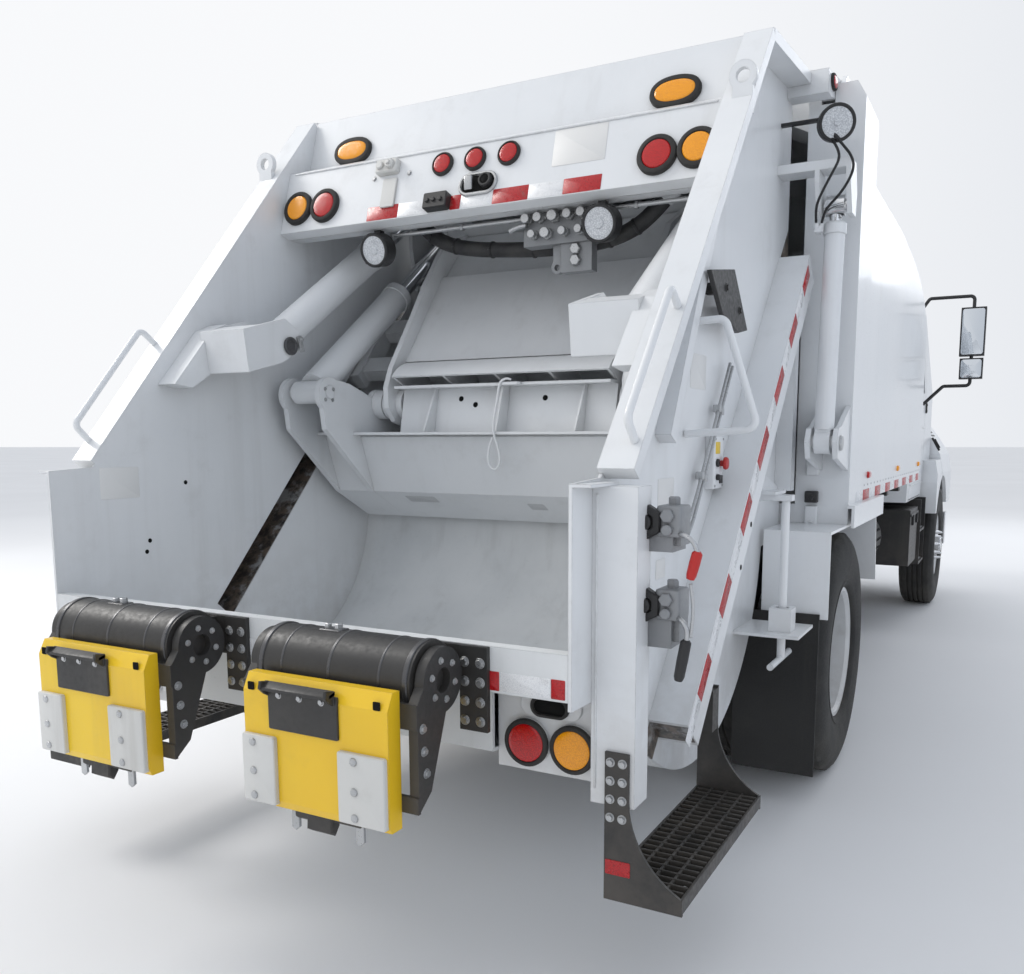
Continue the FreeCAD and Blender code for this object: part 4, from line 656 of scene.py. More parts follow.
# red and white tape down the outer face of each slanting track
RED_RUNS = ((-.893, -.767), (-.620, -.480), (-.345, -.190), (-.055, .110), (.240, .385), (.562, .700), (.847, .985), (1.132, 1.176))
D2, N2, P2 = Vector((0, .6695, -.7428)), Vector((0, .7428, .6695)), Vector((0, .960, 1.430))
for s, node in ((-1, "hopper_right_side"), (1, "hopper_left_side")):
    n = Vector((s, 0, 0))

    def strip(a, b, S):
        c = P2 + D2 * ((a + b) / 2) + N2 * .030
        h = land(T(s * 1.6, c.y, c.z), -n, node)
        if h and abs(h[0].x) > 1.04:
            S.plate(h[0], n, D2, .050, (b - a) - .002, .0012, .002, .0004)
    for a, b in RED_RUNS:
        strip(a, b, tr)
    for (a, b), (c, d) in zip(RED_RUNS, RED_RUNS[1:]):
        strip(b, c, tw)
# tape along the sill and on the ends of the riding steps
for a, b in ((-.668, -.746), (-.889, -.926), (.811, .780), (.930, .905), (.120, .104), (-.012, -.036)):
    tr.plate(onto(T((a + b) / 2, 2.24, .871), REAR, "hopper_floor"), REAR, UP, abs(a - b), .048, .0012, .002, .0004)
for a, b in ((-.748, -.887), (.904, .813), (.102, -.010)):
    tw.plate(onto(T((a + b) / 2, 2.24, .871), REAR, "hopper_floor"), REAR, UP, abs(a - b), .048, .0011, .002, .0004)
for s in (1, -1):
    tr.plate(onto(T(s * 1.022, 2.139, .407), REAR, "riding_steps"), REAR, UP, .066, .038, .002, .003, .0006)
tr.make("red_tape", TRED, "tailgate", "white_paint")
tw.make("white_tape", TWHT, "tailgate", "white_paint")
# body tape
tb, tc_ = Shape(), Shape()
for s in (1, -1):
    for k in range(-1, 13):
        y = -.262 - k * .1865
        h = land(T(s * 1.8, y, 1.213), (-s, 0, 0), "body_shell", "body_rear_ring")
        if h and abs(h[1].x) > .9:
            (tb if k % 2 == 0 else tc_).plate(h[0], (s, 0, 0), UP, .186 if k % 2 == 0 else .184, .046, .0012, .002, .0004)
tb.make("body_red_tape", TRED, "truck", "white_paint")
tc_.make("body_white_tape", TWHT, "truck", "white_paint")

# blank panels where the printed plates were
lab = Shape()
lab.plate(low_face(-.414, 2.475), NL, UP, .204, .136, .0012, .004, .0004)
for p, n, w, h in ((T(-.960, 1.355, 1.666), RIGHT, .150, .105), (T(-.960, 1.626, 1.308), RIGHT, .130, .080), (T(-.960, 1.66, 1.09), RIGHT, .075, .055)):
    lab.plate(onto(p, n, "hopper_right_side"), n, UP, w, h, .0012, .004, .0004)
q = land(T(.5, 1.981, 1.309), (1, 0, 0), "hopper_left_side")
if q:
    lab.plate(q[0], (-1, 0, 0), UP, .155, .108, .0012, .004, .0004)
lab.make("blank_panels", LABEL, "tailgate", "white_paint")
lb2 = Shape()
for x, z in ((.44, 1.205), (-.107, 1.187)):
    h = land(T(x, 1.5, z), (0, -1, 0), "sweep_blade")
    if h:
        lb2.plate(h[0], h[1], UP, .150 if x > 0 else .075, .055, .0012, .004, .0004)
lb2.make("blade_blank_panels", GREYLAB, "blade", "white_paint")

# reversing camera in its polished recess, junction box, gland and bar under the header
st, blk, sh = Shape(), Shape(), Shape()
c = low_face(-.012, 2.389)
st.outline(c, NL, UP, lambda i: rrect(.166, .090, .045, i, 10), [(0, -.001), (0, .006), (.003, .009), (.010, .009), (.014, .002)])
# the camera pocket's floor is a flat near-black plate standing for its shade: painted shade; the lens dome in the same
# material is dark glass
sh.outline(c, NL, UP, lambda i: rrect(.138, .062, .031, i, 10), [(0, 0), (0, .0025), (.001, .003)])
cp = low_face(-.050, 2.392)
blk.lathe(cp, NL, [(.027, 0), (.027, .020), (.024, .024), (.019, .024), (.017, .020)], 32)
sh.lathe(cp, NL, [(.017, .004), (.017, .021), (.010, .0235), (0, .0245)], 28)
st.block(c + Vector((.018, .002, -.020)), c + Vector((.052, .018, .030)), .003)
jb = low_face(.152, 2.335)
blk.outline(jb, NL, UP, lambda i: rrect(.104, .062, .008, i), [(0, 0), (0, .030), (.003, .034)])
for dx in (-.026, .004, .032):
    blk.lathe(jb + Vector((dx, 0, 0)) + NL * .034, NL, [(.009, 0), (.009, .004), (.007, .006)], 16)
g = low_face(.410, 2.505)
vs = Shape()
vs.outline(g, NL, UP, lambda i: rrect(.100, .056, .008, i), [(0, 0), (0, .022), (.004, .027)])
vs.lathe(g + NL * .024 + Vector((-.022, 0, 0)), NL, [(.020, 0), (.020, .014), (.017, .018), (.010, .019), (.009, .026), (0, .027)], 6)
vs.lathe(g + NL * .024 + Vector((.026, 0, 0)), NL, [(.016, 0), (.016, .010), (.012, .013)], 20)
vs.outline(low_face(.395, 2.405), NL, UP, lambda i: rrect(.066, .118, .006, i), [(0, 0), (0, .006), (.002, .008)])
for x, z in ((.479, 2.473), (.311, 2.474)):
    st.bolt(low_face(x, z), NL, .008, .006)
vs.make("header_gland", PAD, "tailgate", "white_paint")
bar = [T(.45, 1.030, 2.268), T(-.83, 1.030, 2.268)]
st.pipe(bar, .008, 14)
for x in (.45, .12, -.24, -.60, -.82):
    st.lathe(T(x - .006, 1.030, 2.268), (1, 0, 0), [(.013, 0), (.013, .012)], 6)
st.make("header_steel_fittings", STEEL, "tailgate", "chrome_rod")
blk.make("header_black_fittings", BLACKPL, "tailgate", "black_plastic")
sh.make("header_recess_shade_and_lens", SHADOW, "tailgate", "black_plastic")

# work lamps: lens and black clamp ring with its bolts
wl, wb, wr = Shape(), Shape(), Shape()
for x in (.489, -.489):
    n = Vector((0, .98, -.20)).normalized()
    p = T(x, 1.045, 2.216) + n * .058
    wb.lathe(p, n, [(.0655, -.012), (.0655, .004), (.062, .008), (.056, .008), (.054, .001)], 40)
    wr.lathe(p, n, [(.054, -.001), (.054, .003), (.038, .0055), (.036, .0045), (.018, .0035), (.016, .007), (0, .009)], 40)
    for a in range(4):
        t = math.pi / 4 + a * math.pi / 2
        u, v, _ = axes(n, UP)
        wb.bolt(p + (u * math.cos(t) + v * math.sin(t)) * .0635 + n * .002, n, .004, .004, False)
n = Vector((-.30, .92, -.25)).normalized()
p = T(-1.141, .402, 2.636) + n * .070
wb.lathe(p, n, [(.0675, -.012), (.0675, .003), (.064, .007), (.057, .007), (.055, .001)], 40)
wr.lathe(p, n, [(.055, -.001), (.055, .004), (.040, .0075), (.038, .006), (.012, .006), (.011, .013), (.008, .015), (0, .0155)], 40)
wb.make("work_lamp_rims", BLACKPL, "tailgate", "black_plastic")
wr.make("work_lamp_lenses", LCLR, "tailgate", "clear_glass")

# fittings on the valve manifold under the header
mf = Shape()
for x, z, r in ((-.175, 2.262, .019), (-.225, 2.262, .019), (-.285, 2.262, .022), (-.345, 2.262, .019), (-.400, 2.262, .019),
                (-.200, 2.205, .017), (-.255, 2.205, .021), (-.325, 2.205, .017), (-.390, 2.205, .017)):
    q = T(x, 1.030, z)
    mf.lathe(q, REAR, [(r, 0), (r, .012), (r * .94, .014)], 6, turn=x * 40)
    mf.lathe(q + REAR * .013, REAR, [(r * .72, 0), (r * .72, .016), (r * .9, .017), (r * .9, .027), (r * .8, .029), (r * .4, .029)], 20)
for z in (2.145, 2.105):
    mf.lathe(T(-.362, 1.020, z), REAR, [(.021, 0), (.021, .014), (.018, .017)], 6)
for a, b in (((-.175, 1.052, 2.240), (-.100, 1.052, 2.225)), ((-.400, 1.052, 2.240), (-.470, 1.052, 2.222))):
    mf.pipe([T(*a), T((a[0] + b[0]) / 2, a[1], a[2] - .002), T(*b)], .009, 12)
mf.make("manifold_fittings", STEEL, "tailgate", "chrome_rod")
# ---------------------------------------------------------------- cart lifters
hk_drum, hk_bolt = Shape(), Shape()
for s, nm, dx in ((-1, "right", 0.0), (1, "left", .800)):
    body = nm + "_lifter"
    plate = nm + "_lifter_plate"

    def X(x):
        return x + dx
    face_y = 2.520
    pads, blk, stl, bolts, hole = Shape(), Shape(), Shape(), Shape(), Shape()
    # white pads on the lower corners, each with three bolts
    for a, b, bx in ((-.180, -.284, -.216), (-.479, -.616, -.529)):
        c = T(X((a + b) / 2), face_y, .656)
        pads.outline(c, REAR, UP, lambda i, w=abs(a - b): rrect(w, .172, .006, i), [(0, -.002), (0, .010), (.002, .0125), (.004, .013)])
        for z in (.724, .651, .588):
            bolts.lathe(T(X(bx), face_y + .0125, z), REAR, [(.0105, 0), (.0105, .001), (.009, .004), (.005, .0055), (0, .006)], 20)
    # black hook bracket: back plate, ledge turned out over it, upturned end
    blk.outline(T(X(-.372), face_y, .815), REAR, UP, lambda i: rrect(.214, .104, .004, i), [(0, -.001), (0, .005), (.001, .006)])
    blk.poly([T(X(-.255), face_y, .872), T(X(-.470), face_y, .872), T(X(-.470), face_y + .020, .866), T(X(-.462), face_y + .030, .864),
              T(X(-.263), face_y + .030, .864), T(X(-.255), face_y + .020, .866)], (0, 0, .009))
    for x0 in (-.262, -.462):
        blk.poly([T(X(x0), face_y, .880), T(X(x0), face_y, .842), T(X(x0), face_y + .018, .852), T(X(x0), face_y + .034, .868), T(X(x0), face_y + .030, .886)],
                 (-.008, 0, 0))
    for x in (-.300, -.365, -.432):
        bolts.bolt(T(X(x), face_y + .005, .850), REAR, .007, .005)
    # square slots near the top corners, drawn as flat near-black patches: painted shade
    for x in (-.206, -.590):
        hole.outline(T(X(x), face_y, .861), REAR, UP, lambda i: rrect(.020, .020, .003, i), [(0, -.001), (0, .0012)])
    # catch and steel strips that hang below the plate
    blk.outline(T(X(-.345), 2.486, .556), REAR, UP, lambda i: rrect(.058, .036, .008, i), [(0, -.010), (0, .014), (.004, .018)])
    blk.poly([T(X(-.360), 2.470, .566), T(X(-.360), 2.505, .560), T(X(-.360), 2.508, .520), T(X(-.360), 2.490, .508), T(X(-.360), 2.474, .530)], (-.075, 0, 0), .004)
    blk.outline(T(X(-.470), 2.486, .560), REAR, UP, lambda i: rrect(.100, .026, .006, i), [(0, -.010), (0, .012), (.003, .015)])
    for x in (-.313, -.513):
        stl.poly([T(X(x) + .012, 2.490, .562), T(X(x) - .012, 2.490, .562), T(X(x) - .012, 2.490, .512), T(X(x), 2.490, .502), T(X(x) + .012, 2.490, .508)], (0, .008, 0), .001)
    # bolts through the arms into the plate
    for e in (-1, 1):
        for y, z in ((2.440, .690), (2.448, .745), (2.452, .800)):
            h = land(T(s * .400 + e * .45, y, z), (-e, 0, 0), nm + "_lifter_arms")
            if h:
                bolts.bolt(h[0], h[1], .009, .007)
    pads.make(nm + "_lifter_pads", PAD, body, "grey_plastic")
    blk.make(nm + "_lifter_hook", BLACK, body, "black_paint")
    stl.make(nm + "_lifter_strips", STEEL, body, "bright_aluminium")
    bolts.make(nm + "_lifter_bolts", STEEL, body, "bright_aluminium")
    hole.make(nm + "_lifter_slot_shades", SHADOW, body, "black_plastic")
    # rotary drum: end rings, ribs and ports; mounting plate bolts
    xc = s * .400
    for x, r, t in ((-.228, .095, .014), (-.150, .0935, .008), (.0, .0935, .010), (.150, .0935, .008), (.214, .095, .014)):
        hk_drum.lathe(T(xc + x, 2.365, .895), (1, 0, 0), [(.080, 0), (r - .002, 0), (r, .002), (r, t - .002), (r - .002, t), (.080, t)], 56)
    for e in (-1, 1):
        for z in (.914, .865, .815, .766):
            hk_bolt.bolt(T(xc + e * .268, 2.254, z) if False else onto(T(xc + e * .255, 2.254, z), REAR, "lifter_drums"), REAR, .010, .008)
            hk_bolt.bolt(onto(T(xc + e * .300, 2.254, z), REAR, "lifter_drums"), REAR, .010, .008)
        for k in range(6):
            t = math.pi / 3 * k + .3
            n = Vector((e, 0, 0))
            hk_bolt.bolt(T(xc + e * .268, 2.365 + .050 * math.cos(t), .895 + .050 * math.sin(t)), n, .0065, .005)
    hk_drum.outline(T(xc + .06, 2.365, .980), UP, REAR, lambda i: rrect(.070, .040, .006, i), [(0, -.006), (0, .006), (.002, .008)])
    hk_bolt.lathe(T(xc + .045, 2.365, .988), UP, [(.011, 0), (.011, .012), (.009, .014)], 6)
    hk_bolt.lathe(T(xc + .078, 2.365, .988), UP, [(.009, 0), (.009, .010), (.007, .012)], 6)
hk_drum.make("lifter_drum_rings", DRUM, "tailgate", "black_paint")
hk_bolt.make("lifter_mount_bolts", STEEL, "tailgate", "bright_aluminium")

# ---------------------------------------------------------------- controls on the right wall
lev, vlv, stl, redg, dsp, lby, pnl = Shape(), Shape(), Shape(), Shape(), Shape(), Shape(), Shape()
for z, zz in ((1.262, 0), (1.060, 1)):
    c = T(-1.052, 2.055, z)
    lev.lathe(c, REAR, [(.046, -.004), (.046, .014), (.043, .018), (.026, .019), (.024, .012)], 6, turn=math.pi / 6)
    lev.lathe(c + REAR * .010, REAR, [(.020, 0), (.020, .016), (.016, .020), (0, .021)], 20)
    vlv.block(T(-1.142, 1.985, z - .036), T(-1.078, 2.062, z + .040), .006)
    vlv.lathe(T(-1.108, 2.060, z + .016), REAR, [(.018, 0), (.018, .010), (.015, .013)], 6)
    vlv.lathe(T(-1.108, 2.060, z - .018), REAR, [(.014, 0), (.014, .012), (.011, .015)], 16)
    vlv.lathe(T(-1.110, 2.020, z + .038), UP, [(.015, 0), (.015, .018), (.012, .022)], 6)
# upper lever: bent rod to a red grip; lower lever: straight rod to a black grip
stl.pipe([T(-1.128, 2.050, 1.236), T(-1.150, 2.066, 1.236), T(-1.176, 2.068, 1.222), T(-1.186, 2.066, 1.192)], .006, 12)
redg.lathe(T(-1.186, 2.066, 1.198), Vector((.26, -.05, -.96)), [(.008, 0), (.013, .006), (.0135, .03), (.0125, .060), (.010, .070), (0, .073)], 20)
stl.pipe([T(-1.128, 2.050, 1.034), T(-1.150, 2.066, 1.030), T(-1.166, 2.070, 1.010), T(-1.163, 2.068, .980)], .006, 12)
stl.pipe([T(-1.170, 2.066, 1.120), T(-1.178, 2.062, 1.060), T(-1.172, 2.064, .990)], .0045, 10)
lev.lathe(T(-1.163, 2.068, .984), Vector((.18, -.02, -.98)), [(.008, 0), (.0135, .006), (.014, .05), (.013, .095), (.010, .104), (0, .107)], 20)
# two light rods from the upper valve down to the levers
for k in (0, .028):
    stl.pipe([T(-.972, 1.085 + k, 1.700 + k * .3), T(-.972, 1.420 + k, 1.262), T(-.974, 1.500 + k, 1.178 + k), T(-.980, 1.600 + k, 1.160 + k)], .0055, 10)
    for y, z in ((1.20, 1.549), (1.36, 1.340)):
        stl.block(T(-.980, y - .010 + k, z - .012 + k * .3), T(-.955, y + .010 + k, z + .012 + k * .3), .002)
# control box with a blank yellow plate, a key switch and a red stop button
q = land(T(-1.6, 1.225, 1.420), (1, 0, 0), "hopper_right_side")
px_ = q[0].x if q and q[0].x > -.99 else -.943
pnl.block(Vector((px_ - .032, 1.172 + DY, 1.300)), Vector((px_ + .003, 1.268 + DY, 1.470)), .005)
f0 = px_ - .032
lby.plate(Vector((f0, 1.236 + DY, 1.432)), RIGHT, UP, .046, .038, .0012, .003, .0004)
dsp.lathe(Vector((f0, 1.242 + DY, 1.384)), RIGHT, [(.013, 0), (.013, .006), (.011, .008), (.004, .008), (.003, .004)], 24)
redg.lathe(Vector((f0, 1.200 + DY, 1.382)), RIGHT, [(.010, 0), (.010, .010), (.020, .012), (.021, .018), (.018, .023), (0, .025)], 28)
dsp.lathe(Vector((f0, 1.242 + DY, 1.338)), RIGHT, [(.010, 0), (.010, .008), (.007, .012), (0, .013)], 20)
dsp.plate(Vector((f0, 1.200 + DY, 1.330)), RIGHT, UP, .030, .026, .004, .003, .001)
for y in (1.180, 1.260):
    for z in (1.310, 1.460):
        stl.lathe(Vector((f0, y + DY, z)), RIGHT, [(.004, 0), (.004, .002), (.002, .003), (0, .003)], 12)
lev.make("lever_housings", BLACKPL, "tailgate", "black_plastic")
vlv.make("lever_valves", VALVE, "tailgate", "valve_grey")
stl.make("lever_rods", STEEL, "tailgate", "chrome_rod")
redg.make("red_grips", RED, "tailgate", "grey_plastic")
dsp.make("panel_switches", BLACKPL, "tailgate", "black_plastic")
lby.make("panel_blank_plate", LABELY, "tailgate", "yellow_paint")
pnl.make("control_panel", HOPWHITE, "tailgate", "white_paint")
# black stop plate on the right wall with its two brackets
bs = Shape()
bs.poly([T(-1.000, 1.473, 1.946), T(-1.000, 1.231, 1.985), T(-1.000, 1.066, 1.816), T(-1.000, 1.172, 1.797), T(-1.000, 1.345, 1.834)], (-.014, 0, 0), .002)
bs.block(T(-1.000, 1.300, 1.900), T(-.950, 1.330, 1.935), .003)
bs.block(T(-1.000, 1.150, 1.850), T(-.950, 1.180, 1.885), .003)
for y, z in ((1.315, 1.918), (1.165, 1.868)):
    bs.bolt(T(-1.014, y, z), RIGHT, .010, .007)
bs.make("right_stop_plate", BLACK, "tailgate", "black_paint")

# ---------------------------------------------------------------- packer: hook, holes, bolts
hook, dk, bb = Shape(), Shape(), Shape()
hook.poly([T(-.120, .990, 1.668), T(-.028, .990, 1.668), T(-.028, 1.008, 1.668), T(-.036, 1.020, 1.668), T(-.112, 1.020, 1.668), T(-.120, 1.008, 1.668)], (0, 0, .012), .002)
hook.pipe([T(-.078, 1.002, 1.688), T(-.062, 1.012, 1.694), T(-.044, 1.022, 1.684), T(-.036, 1.026, 1.664), T(-.034, 1.036, 1.610), T(-.034, 1.064, 1.540),
           T(-.036, 1.072, 1.480), T(-.058, 1.072, 1.430), T(-.068, 1.072, 1.380), T(-.052, 1.072, 1.342), T(-.022, 1.072, 1.348), T(-.010, 1.072, 1.385),
           T(-.018, 1.072, 1.430), T(-.034, 1.072, 1.470)], .0048, 12, smooth=3)
hook.make("blade_hook", WHITE, "blade", "white_paint")
# holes in the blade drawn as near-black discs: painted shade
for x, z in ((.200, 1.624), (.129, 1.599), (-.187, 1.620)):
    h = land(T(x, 1.6, z), (0, -1, 0), "sweep_blade")
    if h:
        dk.lathe(h[0], h[1], [(.011, -.001), (.011, .0012), (.009, .0016)], 20)
dk.make("blade_hole_shades", SHADOW, "blade", "black_plastic")
for s in (1, -1):
    for y, z in ((1.205, 1.640),):
        for x in (.655, .870):
            k = 1 if x > .8 else -1
            n = Vector((s * k, 0, 0))
            for t in range(4):
                a = math.pi / 4 + t * math.pi / 2
                h = land(T(s * (x + k * .2), y + .030 * math.cos(a), z + .030 * math.sin(a)), -n, "sweep_blade", reach=.5)
                if h:
                    bb.bolt(h[0], n, .006, .005)
bb.make("blade_pin_bolts", STEEL, "blade", "bright_aluminium")

# ---------------------------------------------------------------- steps and rear plate bolts
sb = Shape()
for s in (1, -1):
    for z in (.676, .629, .582, .535):
        sb.bolt(onto(T(s * 1.000, 2.139, z), REAR, "riding_steps"), REAR, .009, .007)
        sb.bolt(onto(T(s * 1.032, 2.139, z), REAR, "riding_steps"), REAR, .009, .007)
    for y in (1.48, 1.62, 1.76, 1.90, 2.04):
        for x in (1.010, 1.165):
            h = land(T(s * x, y, .9), (0, 0, -1), "riding_steps", reach=.8)
            if h and h[0].z < .40:
                sb.bolt(h[0], UP, .007, .004)
sb.make("step_bolts", STEEL, "tailgate", "bright_aluminium")
# tread bars on both steps
tread = Shape()
for s in (1, -1):
    for k in range(23):
        y = 1.425 + k * .0307
        tread.block(T(s * 1.088 - .094, y, .347), T(s * 1.088 + .094, y + .006, .364), .0015)
tread.make("step_tread_bars", BLACK, "tailgate", "black_paint")
# caps on the lift cylinders' pins
for nm, body in (("truck", "truck"), ("tailgate", "tailgate")):
    S = Shape()
    for s in (1, -1):
        if body == "truck":
            for y, z in ((.412, 1.446),):
                h = land(T(s * 1.6, y, z), (-s, 0, 0), "body_rear_ring")
                if h:
                    S.lathe(h[0], (s, 0, 0), [(.030, -.001), (.030, .006), (.026, .010), (.010, .011), (0, .011)], 28)
        for x in (.950, 1.020):
            pass
    if S.bm.faces:
        S.make(nm + "_pin_caps", STEEL, body, "bright_aluminium")
# latch blocks on the ring's rear face beside the track
la, lw = Shape(), Shape()
for z0, z1 in ((1.428, 1.498), (1.198, 1.246), (.934, 1.015)):
    h = land(T(-1.072, .60, (z0 + z1) / 2), (0, -1, 0), "body_rear_ring", reach=.5)
    y0 = (h[0].y if h else .200 + DY)
    la.block(Vector((-1.098, y0 - .002, z0)), Vector((-1.046, y0 + .034, z1)), .004)
    la.lathe(Vector((-1.072, y0 + .034, (z0 + z1) / 2)), REAR, [(.012, 0), (.012, .007), (.009, .009)], 6)
for z0, z1 in ((1.312, 1.418), (1.028, 1.184)):
    h = land(T(-1.072, .60, (z0 + z1) / 2), (0, -1, 0), "body_rear_ring", reach=.5)
    y0 = (h[0].y if h else .200 + DY)
    lw.block(Vector((-1.098, y0 - .002, z0)), Vector((-1.046, y0 + .022, z1)), .004)
    lw.lathe(Vector((-1.072, y0 + .022, (z0 + z1) / 2)), REAR, [(.016, 0), (.016, .004), (.010, .005), (.008, .001)], 20)
la.make("latch_blocks", BLACK, "truck", "black_paint")
lw.make("latch_plates", WHITE, "truck", "white_paint")
# ---------------------------------------------------------------- tail lamp box grommets, small holes
# the openings inside the grommets and the small holes in the hopper sides are flat near-black patches: painted shade
gr, gh = Shape(), Shape()
for s in (1, -1):
    p = onto(T(s * .7995, 2.080, .769), REAR, "tail_lamp_boxes")
    gr.outline(p, REAR, UP, lambda i: rrect(.112, .058, .029, i, 8), [(0, -.001), (0, .008), (.003, .011), (.008, .011), (.010, .003)])
    gh.outline(p, REAR, UP, lambda i: rrect(.094, .040, .020, i, 8), [(0, 0), (0, .004), (.001, .0045)])
for y, z in ((1.887, 1.058), (1.872, 1.097), (1.70, 1.30)):
    h = land(T(.5, y, z), (1, 0, 0), "hopper_left_side")
    if h:
        gh.lathe(h[0], (-1, 0, 0), [(.008, -.001), (.008, .001), (.007, .0014)], 16)
for y, z in ((2.02, .99), (1.13, 1.18), (1.24, 1.05)):
    h = land(T(-1.6, y, z), (1, 0, 0), "hopper_right_side")
    if h:
        gh.lathe(h[0], RIGHT, [(.009, -.001), (.009, .001), (.008, .0014)], 16)
gr.make("lamp_box_grommets", RUBBER, "tailgate", "black_rubber")
gh.make("small_hole_shades", SHADOW, "tailgate", "black_plastic")


# ---------------------------------------------------------------- wheels
def wheel_tyre(S, x, y, drive):
    w, R, Rr, z, seg = .140, .5284, .288, .527, 108
    prof = [(-w + .026, Rr), (-w + .012, Rr + .010), (-w + .006, Rr + .030), (-w + .010, Rr + .034), (-w + .003, Rr + .070), (-w, .400), (-w, .440),
            (-w + .004, .470), (-w + .012, .492), (-w + .020, .506), (-w + .034, R - .006)]
    ribs = []
    edges = [-.104, -.063, -.055, -.024, -.016, .016, .024, .055, .063, .104]
    for i in range(0, len(edges), 2):
        a, b = edges[i], edges[i + 1]
        ribs += [(a, R - .014 if i else R - .003), (a + .002, R - .0015), (b - .002, R - .0015), (b, R - .014 if i < 8 else R - .003)]
    right = [(-a, b) for a, b in reversed(prof)]
    full = prof + ribs + right
    k0 = len(prof)
    loops = []
    for j in range(seg):
        t = 2 * math.pi * j / seg
        c, s_ = math.cos(t), math.sin(t)
        row = []
        for i, (a, r) in enumerate(full):
            rib = (i - k0) // 4 if k0 <= i < k0 + 20 else -1
            top = k0 <= i < k0 + 20 and r > R - .01
            if drive:
                if top and (j + rib) % 4 == 0:
                    r -= .010
            elif top and rib in (0, 4) and j % 3 == 0:
                r -= .006
            if i in (k0 - 1, k0 + 20, k0 - 2, k0 + 21) and j % 4 == 0:
                r -= .006
            if i in (6, len(full) - 7) and j % 2 == 0:
                a = a * .996
            row.append(Vector((x + a, y + r * c, z + r * s_)))
        loops.append(row)
    rows = [[S.bm.verts.new(p) for p in L] for L in loops]
    rows.append(rows[0])
    k = len(full)
    for a, b in zip(rows, rows[1:]):
        for i in range(k):
            S.bm.faces.new((a[i], a[(i + 1) % k], b[(i + 1) % k], b[i]))


for nm, xs, y, drive, body in (("front_left", (1.075,), -4.740, False, "front_left_wheel"), ("front_right", (-1.075,), -4.740, False, "front_right_wheel"),
                               ("rear_left", (1.060, .730), 0, True, "rear_left_wheels"), ("rear_right", (-1.060, -.730), 0, True, "rear_right_wheels")):
    node = nm + ("_tyre" if nm.startswith("front") else "_tyres")
    lo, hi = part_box(node)
    S = Shape()
    if len(xs) == 1:
        xs = ((lo.x + hi.x) / 2,)
    else:
        sg = 1 if xs[0] > 0 else -1
        out_x = max(abs(lo.x), abs(hi.x)) - .140
        in_x = min(abs(lo.x), abs(hi.x)) + .140
        xs = (sg * out_x, sg * in_x)
    for x in xs:
        wheel_tyre(S, x, (lo.y + hi.y) / 2, drive)
    S.make(nm + "_tread_tyre" + ("s" if len(xs) > 1 else ""), TYRE, body, "tyre_rubber", 40, replaces=(node,))
    # nuts and hub cap on the outer face of the rim
    sg = 1 if xs[0] > 0 else -1
    n = Vector((sg, 0, 0))
    cy = (lo.y + hi.y) / 2
    rim_n = nm + ("_rim" if nm.startswith("front") else "_rims")
    nuts, cap, holes = Shape(), Shape(), Shape()
    for k in range(10):
        t = 2 * math.pi * k / 10 + .16
        p = Vector((sg * 1.6, cy + .1430 * math.cos(t), .527 + .1430 * math.sin(t)))
        p = Vector((sg * 1.6, cy + .118 * math.cos(t), .527 + .118 * math.sin(t))) if nm.startswith("front") else p
        h = land(p, -n, rim_n)
        if h:
            if nm.startswith("front"):
                nuts.lathe(h[0], n, [(.019, -.001), (.019, .004), (.0155, .006), (.0155, .026), (.013, .034), (.0045, .072), (0, .074)], 12)
            else:
                nuts.lathe(h[0], n, [(.020, -.001), (.020, .004), (.0165, .005)], 20)
                nuts.lathe(h[0], n, [(.0165, .003), (.0165, .022), (.015, .024), (.011, .024), (.011, .036), (.009, .038)], 6)
    h = land(Vector((sg * 1.6, cy + .02, .527)), -n, rim_n)
    if h:
        c = Vector((h[0].x, cy, .527))
        cap.lathe(c, n, [(.078, -.004), (.078, .004), (.074, .008), (.062, .010), (.060, .016), (.030, .020), (0, .021)], 40)
        for k in range(8):
            t = 2 * math.pi * k / 8
            cap.bolt(c + Vector((0, .069 * math.cos(t), .069 * math.sin(t))) + n * .008, n, .006, .005)
    nuts.make(nm + "_wheel_nuts", STEEL if not nm.startswith("front") else CHROME, body, "chrome_rod")
    cap.make(nm + "_hub_cap", ENGINE if nm.startswith("rear") else ALU, body, "engine_grey" if nm.startswith("rear") else "bright_aluminium")

# ---------------------------------------------------------------- cab: seals, handles, vents, lamps, grille
seal, hnd, vent, trim, lensc, lensa, lensr = Shape(), Shape(), Shape(), Shape(), Shape(), Shape(), Shape()


def bead(S, pts, r, closed=True, seg=8):
    """A rounded bead round an opening, lying on its rim."""
    pts = [Vector(p) for p in pts]
    k = len(pts)
    loops = []
    for i in range(k):
        a, b, c = pts[i - 1], pts[i], pts[(i + 1) % k]
        t1, t2 = (b - a).normalized(), (c - b).normalized()
        t = (t1 + t2).normalized()
        u = t.orthogonal().normalized()
        nn = (pts[0] - pts[1]).cross(pts[2] - pts[1]).normalized()
        u = (nn - t * nn.dot(t)).normalized()
        v = t.cross(u)
        m = 1 / max(.5, t.dot(t1))
        loops.append([b + u * (r * math.cos(2 * math.pi * q / seg)) + v * (r * m * math.sin(2 * math.pi * q / seg)) for q in range(seg)])
    S.loft(loops, closed=True)


